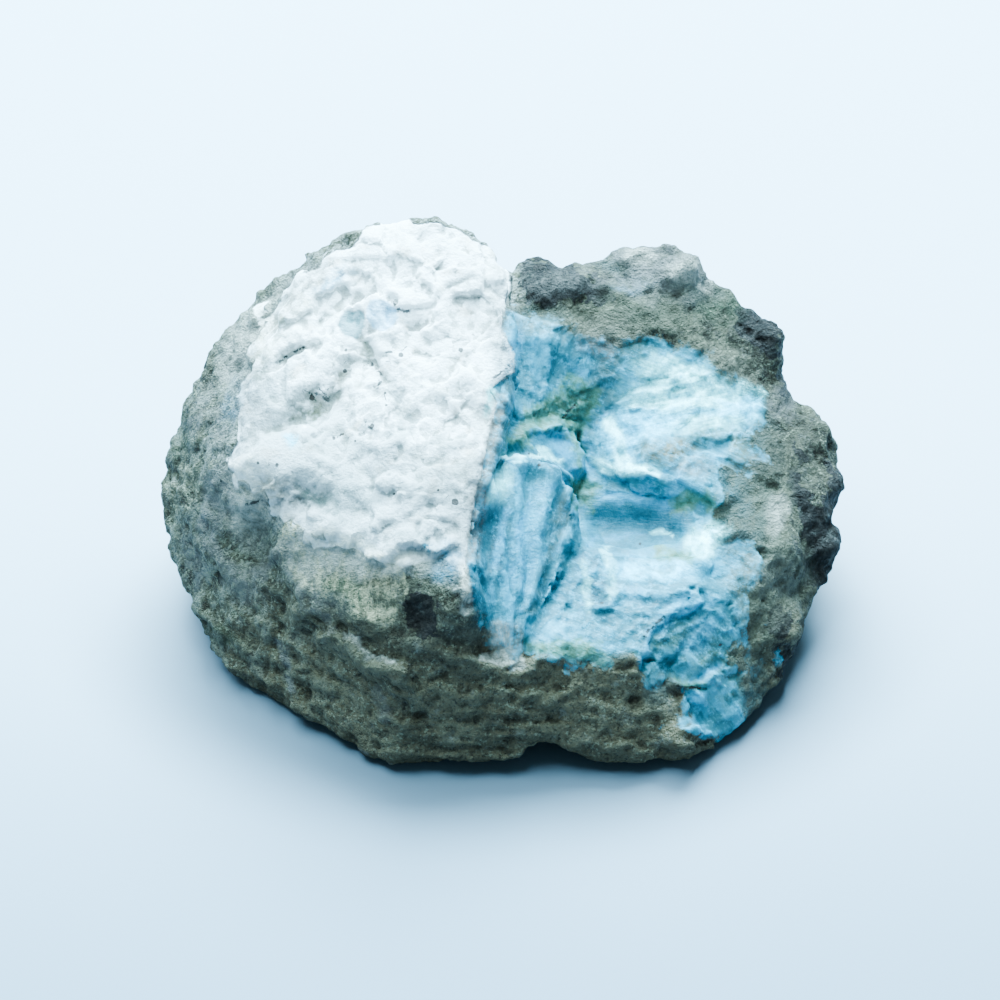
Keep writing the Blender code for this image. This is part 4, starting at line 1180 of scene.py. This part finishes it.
    def mark(self) -> None:
        """Store the regions, stains, cracks, specks and fibre directions on the mesh."""
        points, normals = self.read()
        for region, depth in self.regions(points, normals).items():
            self.keep(region.value, "FLOAT", "value", depth)
        pixels = VIEW.pixels(points)
        facing = VIEW.facing(points, normals)
        wobbled = self.wobbled(points)
        self.keep("stain", "FLOAT_COLOR", "color", self.paint(points, wobbled, facing))
        self.keep("crack", "FLOAT_VECTOR", "vector", self.crack_places(pixels, facing))
        self.keep("speck", "FLOAT_VECTOR", "vector", self.speck_places(pixels, facing))
        places = self.fibre_places(pixels)
        self.keep("fibre", "FLOAT_VECTOR", "vector", places)
        self.keep("flake", "FLOAT", "value", self.flake_tints(points, places))
        quiet = np.max([outline.inside(pixels) for outline in (POOL, UPPER_PANEL)], axis=0)
        self.keep("quiet", "FLOAT", "value", smooth(-0.4, 0.6, quiet))
        self.keep("sunk", "FLOAT_VECTOR", "vector", self.hollows(points, normals))
        chips = np.stack((TEAL_CHIP.inside(pixels), SHELL_CHIP.inside(pixels), facing), axis=1)
        self.keep("chip", "FLOAT_VECTOR", "vector", np.clip(chips, -3.0, 3.0))

    def build(self) -> bpy.types.Object:
        """Make the whole stone and return it."""
        self.take_copy()
        LOG.info("skin of %d vertices", len(self.stone.data.vertices))
        self.sculpt()
        self.thin_out()
        self.settle()
        self.mark()
        self.stone.data.shade_smooth()
        return self.stone


class Value:
    """One socket of a material's nodes, which adds and mixes as a number does."""

    def __init__(self, nodes: "Nodes", socket: bpy.types.NodeSocket) -> None:
        """Wrap a socket."""
        self.nodes = nodes
        self.socket = socket

    def math(self, operation: str, *others: "Value | float", reverse: bool = False) -> "Value":
        """Add a Math node on this value and others."""
        sources = (*others, self) if reverse else (self, *others)
        return self.nodes.add("ShaderNodeMath", {"operation": operation}, *sources)

    def __add__(self, other: "Value | float") -> "Value":
        """Add."""
        return self.math("ADD", other)

    __radd__ = __add__

    def __mul__(self, other: "Value | float") -> "Value":
        """Multiply."""
        return self.math("MULTIPLY", other)

    __rmul__ = __mul__

    def __sub__(self, other: "Value | float") -> "Value":
        """Subtract."""
        return self.math("SUBTRACT", other)

    def __rsub__(self, other: "Value | float") -> "Value":
        """Subtract from."""
        return self.math("SUBTRACT", other, reverse=True)

    def __abs__(self) -> "Value":
        """Drop the sign."""
        return self.math("ABSOLUTE")

    def max(self, other: "Value | float") -> "Value":
        """Return the larger."""
        return self.math("MAXIMUM", other)

    def rise(self, low: float, high: float) -> "Value":
        """Rise smoothly from 0 at low to 1 at high."""
        settings = {"interpolation_type": "SMOOTHSTEP"}
        if low < high:
            return self.nodes.add("ShaderNodeMapRange", settings, self, low, high, 0.0, 1.0)
        return self.nodes.add("ShaderNodeMapRange", settings, self, high, low, 1.0, 0.0)


class Nodes:
    """The node tree of one material."""

    def __init__(self, name: str) -> None:
        """Start a material with only its output."""
        self.material = bpy.data.materials.new(name)
        self.material.use_nodes = True
        self.tree = self.material.node_tree
        self.tree.nodes.clear()
        self.places = self.scaled_places()

    def add(
        self,
        kind: str,
        settings: dict[str, object] | None = None,
        *sources: "Value | float | Sequence[float] | None",
        output: int | str = 0,
        **named: "Value | float | Sequence[float]",
    ) -> Value:
        """Add any node.

        Args:
            kind: The node's type.
            settings: Its own properties, set before its sockets.
            *sources: Values or links for its inputs, in order; None leaves one alone.
            output: Which output is returned.
            **named: Values or links by socket name, with _ for a space.

        Returns:
            The chosen output.
        """
        node = self.tree.nodes.new(kind)
        for name, value in (settings or {}).items():
            setattr(node, name, value)
        wanted = [(node.inputs[index], source) for index, source in enumerate(sources) if source is not None]
        wanted += [(node.inputs[name.replace("_", " ")], source) for name, source in named.items()]
        for socket, source in wanted:
            if isinstance(source, Value):
                self.tree.links.new(source.socket, socket)
            else:
                socket.default_value = source
        return Value(self, node.outputs[output])

    def scaled_places(self) -> Value:
        """Return the object's own places, in millimetres."""
        raw = self.add("ShaderNodeTexCoord", output="Object")
        return self.add("ShaderNodeVectorMath", {"operation": "SCALE"}, raw, Scale=1.0 / MM)

    def attribute(self, name: str, output: str = "Fac") -> Value:
        """Read a field stored on the mesh."""
        return self.add("ShaderNodeAttribute", {"attribute_name": name}, output=output)

    def parts(self, vector: Value) -> tuple[Value, Value, Value]:
        """Return the three numbers of a vector."""
        first = self.add("ShaderNodeSeparateXYZ", None, vector)
        outputs = first.socket.node.outputs
        return first, Value(self, outputs[1]), Value(self, outputs[2])

    def moved(self, places: Value, by: Sequence[float], scale: Sequence[float] = (1.0, 1.0, 1.0)) -> Value:
        """Shift and stretch places with a Mapping node."""
        return self.add("ShaderNodeMapping", None, places, Location=by, Scale=scale)

    def noise(self, size: float, detail: float = 3.0, rough: float = 0.55, places: Value | None = None,
              distortion: float = 0.0) -> Value:
        """Return soft noise of a size in millimetres, 0 to 1."""
        return self.add("ShaderNodeTexNoise", None, places or self.places, Scale=1.0 / size, Detail=detail,
                        Roughness=rough, Distortion=distortion)

    def cells(self, size: float, feature: str = "F1", places: Value | None = None) -> Value:
        """Return the distance to scattered cells of a size in millimetres."""
        return self.add("ShaderNodeTexVoronoi", {"feature": feature}, places or self.places, Scale=1.0 / size)

    def mix(self, share: Value | float, first: "Value | Colour", second: "Value | Colour",
            blend: str = "MIX") -> Value:
        """Mix two colours."""
        settings = {"data_type": "RGBA", "blend_type": blend}
        ends = [(*end, 1.0) if isinstance(end, tuple) else end for end in (first, second)]
        return self.add("ShaderNodeMix", settings, share, None, None, None, None, None, *ends, output=2)

    def bump(self, height: Value, distance: float, strength: float = 1.0) -> Value:
        """Return a normal bent by a height, whose 1 stands a distance in millimetres tall."""
        return self.add("ShaderNodeBump", None, Strength=strength, Distance=distance * MM, Height=height)

    def principled(self, colour: Value, roughness: Value | float, normal: Value, **constants: object) -> Value:
        """Return a Principled shader."""
        return self.add("ShaderNodeBsdfPrincipled", None, Base_Color=colour, Roughness=roughness, Normal=normal,
                        **constants)

    def finish(self, shader: Value) -> bpy.types.Material:
        """Link the shader to the output and return the material."""
        self.add_output(shader)
        return self.material

    def add_output(self, shader: Value) -> None:
        """Add the material's output."""
        node = self.tree.nodes.new("ShaderNodeOutputMaterial")
        self.tree.links.new(shader.socket, node.inputs["Surface"])


@dataclass(frozen=True)
class BasaltFinish:
    """Matt grey-green rock, mottled pale and olive, with fine grains and charcoal patches, painted shade in its
    hollows, painted highlights on its ridges and a painted lift of light on its low front.
    """

    mid: Colour = shown(130, 146, 137)
    light: Colour = shown(164, 182, 174)
    pale: Colour = shown(184, 202, 202)
    dark: Colour = shown(80, 90, 82)
    olive: Colour = shown(100, 110, 88)
    speckle: Colour = shown(198, 214, 210)
    charcoal: Colour = shown(98, 110, 114)
    # Painted light: a lighter, warmer tone laid over the shaded front of the rock.
    warm: Colour = shown(182, 192, 180)
    soot: Colour = shown(50, 58, 62)

    def colour(self, nodes: Nodes) -> Value:
        """Return the rock's colour.

        Args:
            nodes: The material's nodes.

        Returns:
            The colour socket.
        """
        broad = nodes.noise(7.0, 3.0, 0.6)
        base = nodes.mix(broad.rise(0.36, 0.64), self.mid, self.light)
        greener = nodes.noise(5.0, 3.0, 0.6, nodes.moved(nodes.places, (31.0, 7.0, 13.0)))
        base = nodes.mix(greener.rise(0.46, 0.66) * 0.8, base, self.olive)
        blotch = nodes.noise(2.3, 4.0, 0.66, nodes.moved(nodes.places, (3.0, 17.0, 5.0)))
        base = nodes.mix(blotch.rise(0.46, 0.62) * 0.85, base, self.dark)
        x, y, z = nodes.parts(nodes.places)
        left = x.rise(-14.0, -26.0)
        streak = nodes.noise(1.5, 3.0, 0.6, nodes.moved(nodes.places, (2.0, 2.0, 2.0), (1.0, 1.0, 0.3)))
        base = nodes.mix(streak.rise(0.5, 0.62) * left * 0.8, base, self.pale)
        base = nodes.mix(streak.rise(0.46, 0.36) * left * 0.7, base, self.dark)
        winding = nodes.noise(2.4, 4.0, 0.6, nodes.moved(nodes.places, (6.0, 1.0, 9.0), (1.0, 1.0, 0.4)), 1.2)
        gaps = nodes.noise(1.1, 3.0, 0.6, nodes.moved(nodes.places, (2.0, 12.0, 4.0))).rise(0.44, 0.58)
        thread = abs(winding - 0.5).rise(0.035, 0.008) * gaps
        base = nodes.mix(thread * (left * 0.6 + 0.25), base, self.speckle)
        # Painted light: the front, low down, is lifted lighter and warmer, standing in for light that falls short
        # there.
        front = y.rise(-8.0, -22.0) * z.rise(20.0, 12.0)
        base = nodes.mix(front * 0.55, base, self.warm)
        grain = nodes.noise(0.5, 4.0, 0.72)
        base = nodes.mix(grain.rise(0.5, 0.66) * 0.6, base, self.light)
        shade = nodes.noise(0.6, 4.0, 0.74, nodes.moved(nodes.places, (8.0, 1.0, 4.0)))
        base = nodes.mix(shade.rise(0.5, 0.66) * 0.75, base, self.dark)
        bright = nodes.noise(0.4, 2.0, 0.6, nodes.moved(nodes.places, (5.0, 9.0, 23.0)))
        clump = nodes.noise(3.0, 2.0).rise(0.4, 0.6)
        base = nodes.mix(bright.rise(0.55, 0.68) * (clump * 0.6 + 0.15), base, self.speckle)
        # Painted shade in the hollows and painted highlights on the ridges, from how far each place lies below its
        # neighbours.
        near, wide, _ = nodes.parts(nodes.attribute("sunk", "Vector"))
        rough = (grain - 0.5) * 0.2
        base = nodes.mix((near + rough).rise(0.03, 0.16) * 0.5, base, self.dark)
        base = nodes.mix((near + rough).rise(-0.04, -0.16) * 0.4, base, self.light)
        base = nodes.mix(wide.rise(0.25, 0.9) * 0.35, base, self.dark)
        patch = nodes.attribute(Region.CHARCOAL.value) + (nodes.noise(1.2, 3.0) - 0.43) * 4.5
        cover = patch.rise(-0.2, 0.25) * 0.95
        black = nodes.mix(nodes.noise(0.6, 3.0).rise(0.45, 0.65), self.soot, self.charcoal)
        return nodes.mix(cover, base, black)


@dataclass(frozen=True)
class CrustFinish:
    """Chalky white crust with faint grey and pink mottles, hairlines and specks, painted shade in its hollows and dark
    specks in the wide ones.
    """

    white: Colour = shown(245, 251, 252)
    grey: Colour = shown(214, 226, 228)
    warm: Colour = shown(222, 227, 226)
    shade: Colour = shown(176, 192, 190)
    dirt_and_hollow_shade: Colour = shown(110, 116, 106)
    cloudy: Colour = shown(184, 206, 212)
    teal: Colour = shown(140, 196, 206)
    shell: Colour = shown(206, 233, 242)

    def colour(self, nodes: Nodes) -> Value:
        """Return the crust's colour, with its two chips."""
        mottle = nodes.noise(2.2, 4.0, 0.65)
        base = nodes.mix(mottle.rise(0.52, 0.72) * 0.7, self.white, self.grey)
        pink = nodes.noise(3.1, 3.0, 0.6, nodes.moved(nodes.places, (9.0, 4.0, 2.0)))
        base = nodes.mix(pink.rise(0.55, 0.7) * 0.5, base, self.warm)
        fine = nodes.noise(0.5, 3.0, 0.7, nodes.moved(nodes.places, (1.0, 6.0, 12.0)))
        base = nodes.mix(fine.rise(0.6, 0.75) * 0.35, base, self.grey)
        # Painted shade in the hollows, near and wide; the dark specks in the wide hollows are dirt and painted shade
        # together.
        near, wide, _ = nodes.parts(nodes.attribute("sunk", "Vector"))
        dirt_and_hollow_shade = nodes.noise(0.6, 4.0, 0.7, nodes.moved(nodes.places, (4.0, 8.0, 1.0)))
        base = nodes.mix((near + (dirt_and_hollow_shade - 0.5) * 0.14).rise(0.03, 0.1) * 0.5, base, self.shade)
        base = nodes.mix((wide + (dirt_and_hollow_shade - 0.5) * 0.8).rise(0.16, 0.55) * 0.5, base, self.shade)
        soil = nodes.noise(0.35, 2.0, 0.6, nodes.moved(nodes.places, (7.0, 3.0, 11.0))).rise(0.6, 0.68)
        base = nodes.mix(soil * wide.rise(0.2, 0.6) * 0.7, base, self.dirt_and_hollow_shade)
        x, y, _ = nodes.parts(nodes.places)
        cloudy = nodes.noise(2.6, 4.0, 0.66, nodes.moved(nodes.places, (5.0, 13.0, 2.0)))
        low_left = (x * 0.6 + y).rise(2.0, -22.0) * 0.4 + 0.05
        base = nodes.mix((cloudy + low_left - 0.2).rise(0.5, 0.62) * 0.55, base, self.cloudy)
        teal, shell, _ = nodes.parts(nodes.attribute("chip", "Vector"))
        wobble = (nodes.noise(0.7, 2.0) - 0.5) * 0.5
        base = nodes.mix((teal + wobble).rise(-0.15, 0.3) * 0.8, base, self.teal)
        return nodes.mix((shell + wobble).rise(-0.15, 0.25) * 0.7, base, self.shell)


@dataclass(frozen=True)
class LarimarFinish:
    """Silky to waxy blue pectolite, streaked along its fibres and clouded with white."""

    mid: Colour = shown(116, 192, 206)
    pale: Colour = shown(143, 212, 227)
    white: Colour = shown(190, 238, 246)
    deep: Colour = shown(106, 174, 188)
    teal: Colour = shown(110, 168, 172)
    olive: Colour = shown(112, 144, 112)
    lime: Colour = shown(152, 196, 184)
    roughness: float = 0.42

    def colour(self, nodes: Nodes) -> Value:
        """Return the blue face's colour, with its green stains."""
        cloud = nodes.noise(2.4, 5.0, 0.7, distortion=0.6)
        base = nodes.mix(cloud.rise(0.44, 0.74) * 0.8, self.mid, self.pale)
        fibre = nodes.attribute("fibre", "Vector")
        streak = nodes.noise(0.5, 3.0, 0.6, nodes.moved(fibre, (0.0, 0.0, 0.0), (1.0, 0.1, 1.0)))
        base = nodes.mix(streak.rise(0.54, 0.72) * 0.25, base, self.white)
        dark_streak = nodes.noise(0.7, 3.0, 0.6, nodes.moved(fibre, (40.0, 9.0, 3.0), (1.0, 0.12, 1.0)))
        base = nodes.mix(dark_streak.rise(0.55, 0.7) * 0.4, base, self.deep)
        patch = nodes.noise(1.7, 3.0, 0.6, nodes.moved(nodes.places, (12.0, 3.0, 8.0)))
        return nodes.mix(patch.rise(0.58, 0.72) * 0.4, base, self.teal)

    def edges(self, nodes: Nodes, base: Value) -> Value:
        """Tint the flakes apart, add painted highlights on raised edges and painted shade in what lies low."""
        tint = nodes.attribute("flake")
        grain = nodes.noise(0.4, 3.0, 0.7, nodes.moved(nodes.places, (2.0, 7.0, 5.0)))
        base = nodes.mix((tint + grain - 0.5).rise(0.25, 0.8) * 0.15, base, self.white)
        base = nodes.mix((tint - grain + 0.5).rise(-0.15, -0.7) * 0.18, base, self.deep)
        # Painted highlights on what stands up and painted shade in what lies low, from the hollows field.
        near, _, _ = nodes.parts(nodes.attribute("sunk", "Vector"))
        base = nodes.mix((near + (grain - 0.5) * 0.2).rise(-0.04, -0.12) * 0.1, base, self.white)
        base = nodes.mix((near + (grain - 0.5) * 0.2).rise(0.03, 0.12) * 0.12, base, self.deep)
        crisp = nodes.noise(0.9, 5.0, 0.75, nodes.moved(nodes.places, (14.0, 1.0, 6.0)))
        base = nodes.mix(crisp.rise(0.54, 0.62) * 0.18, base, self.white)
        base = nodes.mix(crisp.rise(0.46, 0.38) * 0.14, base, self.deep)
        speck = nodes.noise(0.3, 2.0, 0.6, nodes.moved(nodes.places, (6.0, 2.0, 9.0)))
        clump = nodes.noise(2.6, 3.0, 0.6, nodes.moved(nodes.places, (1.0, 9.0, 7.0))).rise(0.4, 0.62)
        return nodes.mix(speck.rise(0.58, 0.72) * clump * 0.15, base, self.white)

    def green(self, nodes: Nodes, base: Value) -> Value:
        """Lay the green stains over a colour."""
        reach = nodes.attribute(Region.GREEN.value) + (nodes.noise(0.9, 3.0, 0.65) - 0.5) * 3.0
        broken = nodes.noise(1.1, 4.0, 0.7, nodes.moved(nodes.places, (3.0, 3.0, 14.0)))
        base = nodes.mix(reach.rise(-0.8, 0.6) * 0.7, base, self.lime)
        return nodes.mix(reach.rise(-0.3, 0.9) * broken.rise(0.42, 0.6) * 0.6, base, self.olive)


@dataclass(frozen=True)
class StoneFinish:
    """The whole stone's material: rock, crust and larimar with sharp, broken borders."""

    basalt: BasaltFinish = BasaltFinish()
    crust: CrustFinish = CrustFinish()
    larimar: LarimarFinish = LarimarFinish()
    cream: Colour = shown(220, 229, 223)
    tan: Colour = shown(168, 184, 174)
    dust: Colour = shown(208, 222, 224)
    crack: Colour = shown(62, 72, 74)
    brown: Colour = shown(84, 82, 78)

    def border(self, nodes: Nodes, region: Region, size: float, reach: float, sharp: float) -> Value:
        """Return the share of a region, with a broken border.

        Args:
            nodes: The material's nodes.
            region: Which field is read.
            size: Width of the border's teeth.
            reach: How far they reach.
            sharp: Half the width of the blend.

        Returns:
            The share, 0 to 1.
        """
        teeth = (nodes.noise(size, 4.0, 0.65) - 0.5) * (2.0 * reach)
        return (nodes.attribute(region.value) + teeth).rise(-sharp, sharp)

    def marks(self, nodes: Nodes, base: Value) -> Value:
        """Draw the hairline cracks and the specks over a colour."""
        across, beyond, _ = nodes.parts(nodes.attribute("crack", "Vector"))
        wander = (nodes.noise(1.3, 3.0, 0.7) - 0.5) * 0.9
        near = abs(across + wander).rise(0.24, 0.1)
        dotted = nodes.noise(0.7, 3.0).rise(0.44, 0.54)
        line = near * beyond.rise(0.25, 0.0) * dotted
        base = nodes.mix(line * 0.9, base, self.crack)
        right, down, radius = nodes.parts(nodes.attribute("speck", "Vector"))
        ragged = (nodes.noise(0.4, 2.0) - 0.5) * 0.25
        distance = (right * right + down * down).math("SQRT") + ragged - radius
        return nodes.mix(distance.rise(0.04, -0.04) * 0.9, base, self.brown)

    def build(self) -> bpy.types.Material:
        """Make the material and return it."""
        nodes = Nodes("larimar_in_basalt")
        rock = self.basalt.colour(nodes)
        cream = self.border(nodes, Region.CREAM, 0.9, 1.0, 0.35)
        fibre = nodes.attribute("fibre", "Vector")
        streak = nodes.noise(1.3, 4.0, 0.7, nodes.moved(nodes.places, (5.0, 5.0, 5.0), (1.4, 0.7, 0.7)))
        rock = nodes.mix(cream * 0.9, rock, nodes.mix(streak.rise(0.4, 0.62), self.tan, self.cream))
        larimar = self.larimar.colour(nodes)
        blue = self.border(nodes, Region.BLUE, 1.4, 2.6, 0.7)
        crust = self.border(nodes, Region.CRUST, 0.7, 0.45, 0.14)
        dusty = nodes.attribute(Region.CRUST.value) + (nodes.noise(1.8, 4.0, 0.7) - 0.5) * 6.0
        dust = dusty.rise(-3.0, 0.1) * nodes.noise(0.6, 4.0, 0.72, nodes.moved(nodes.places, (1.0, 2.0, 3.0))).rise(0.42, 0.58)
        rock = nodes.mix(dust * 0.8, rock, self.dust)
        colour = nodes.mix(crust, nodes.mix(blue, rock, larimar), self.crust.colour(nodes))
        stain = nodes.attribute("stain", "Color")
        cover = nodes.attribute("stain", "Alpha")
        shade = nodes.noise(0.45, 3.0, 0.7).rise(0.3, 0.7) * 0.4 + 0.8
        tint = nodes.add("ShaderNodeVectorMath", {"operation": "SCALE"}, stain, Scale=shade)
        patchy = nodes.noise(1.3, 5.0, 0.66, fibre).rise(0.38, 0.6)
        patchy = patchy.max(nodes.attribute("quiet") * 0.7)
        share = (cover * (patchy * 0.7 + 0.5)).math("MINIMUM", 1.0)
        colour = nodes.mix(share, colour, tint)
        silky = blue * (1.0 - crust)
        busy = silky * (1.0 - nodes.attribute("quiet") * 0.75)
        colour = nodes.mix(busy, colour, self.larimar.edges(nodes, colour))
        colour = nodes.mix(silky, colour, self.larimar.green(nodes, colour))
        colour = self.marks(nodes, colour)
        grain = nodes.noise(0.35, 4.0, 0.7)
        crumb = nodes.noise(0.7, 4.0, 0.6)
        silk = nodes.noise(0.35, 3.0, 0.6, nodes.moved(fibre, (0.0, 0.0, 0.0), (1.0, 0.12, 1.0)))
        rock_normal = nodes.bump((grain * 0.8 + crumb) * (1.0 - crust * 0.82), 0.9)
        silk_normal = nodes.bump(silk * 0.7 + grain * 0.6 + crumb * 0.5, 0.13)
        rock_shader = nodes.principled(colour, 0.75, rock_normal, Specular_IOR_Level=0.12)
        gloss = nodes.noise(1.4, 3.0).rise(0.3, 0.7) * 0.25 + 0.4
        blue_shader = nodes.principled(colour, gloss, silk_normal, Specular_IOR_Level=0.18,
                                       Subsurface_Weight=0.2, Subsurface_Radius=(0.6, 0.9, 1.0),
                                       Subsurface_Scale=0.6 * MM)
        share = blue * (1.0 - crust)
        mixed = nodes.add("ShaderNodeMixShader", None, share, rock_shader, blue_shader)
        return nodes.finish(mixed)


@dataclass(frozen=True)
class Studio:
    """A pale seamless floor, painted darker toward the front and with a painted shadow close round the stone, and a
    large soft light above and behind.
    """

    floor_size: float = 4.0
    floor_colour: Colour = (0.355, 0.43, 0.505)
    # Painted shade: the darker floor tone toward the front.
    floor_shade: Colour = (0.15, 0.2, 0.255)
    # Painted shadow: the dark tone close round the stone, and how far it reaches.
    painted_floor_shadow: Colour = (0.06, 0.085, 0.11)
    painted_shadow_reach: tuple[float, float] = (44.0, 35.0)
    sky: Colour = LIGHT_TINT
    sky_strength: float = 0.5
    lamp_size: float = 0.4
    lamp_power: float = 82.0
    lamp_place: tuple[float, float, float] = (0.02, 0.44, 0.48)
    fill_power: float = 20.0
    fill_place: tuple[float, float, float] = (-0.18, 0.1, 0.6)

    def floor(self) -> None:
        """Lay the floor, with painted shade toward the front and a painted shadow round the stone."""
        bpy.ops.object.select_all(action="DESELECT")
        bpy.ops.mesh.primitive_plane_add(size=self.floor_size, location=(0.0, 0.0, 0.0))
        plane = bpy.context.object
        plane.name = "studio_floor"
        nodes = Nodes("studio_paper")
        across, depth, _ = nodes.parts(nodes.places)
        # Painted shade: the floor grows darker toward the front.
        colour = nodes.mix(depth.rise(40.0, -75.0), self.floor_colour, self.floor_shade)
        # Painted shadow: a dark oval on the floor close round the stone, strongest in front.
        wide, deep = self.painted_shadow_reach
        away = (across * across * (1.0 / wide ** 2) + depth * depth * (1.0 / deep ** 2)).math("SQRT")
        painted_shadow = away.rise(1.3, 0.92) * depth.rise(10.0, -25.0)
        colour = nodes.mix(painted_shadow * 0.85, colour, self.painted_floor_shadow)
        normal = nodes.bump(nodes.noise(0.8), 0.01)
        plane.data.materials.append(nodes.finish(nodes.principled(colour, 0.8, normal)))

    def lamp(self, name: str, place: tuple[float, float, float], power: float) -> None:
        """Hang one soft square light that looks at the stone."""
        bpy.ops.object.light_add(type="AREA", location=place)
        lamp = bpy.context.object
        lamp.name = name
        lamp.data.shape = "SQUARE"
        lamp.data.size = self.lamp_size
        lamp.data.energy = power
        lamp.data.color = LIGHT_TINT
        lamp.rotation_euler = (-Vector(place)).to_track_quat("-Z", "Y").to_euler()

    def world(self) -> None:
        """Fill the room with soft cool light."""
        world = bpy.data.worlds.new("studio_air")
        bpy.context.scene.world = world
        world.use_nodes = True
        background = world.node_tree.nodes["Background"]
        background.inputs["Color"].default_value = (*self.sky, 1.0)
        background.inputs["Strength"].default_value = self.sky_strength

    def build(self) -> None:
        """Set up the floor, the lights and the room."""
        self.floor()
        self.lamp("soft_top_light", self.lamp_place, self.lamp_power)
        self.lamp("soft_left_light", self.fill_place, self.fill_power)
        self.world()


def main() -> None:
    """Build the stone, its finish and the studio."""
    logging.basicConfig(level=logging.INFO, format="%(name)s: %(message)s")
    VIEW.build()
    stone = StoneShape().build()
    stone.data.materials.append(StoneFinish().build())
    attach(stone, BODY)
    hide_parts(NODE)
    LOG.info("%s: %d faces", stone.name, len(stone.data.polygons))
    Studio().build()


if __name__ == "__main__":
    main()
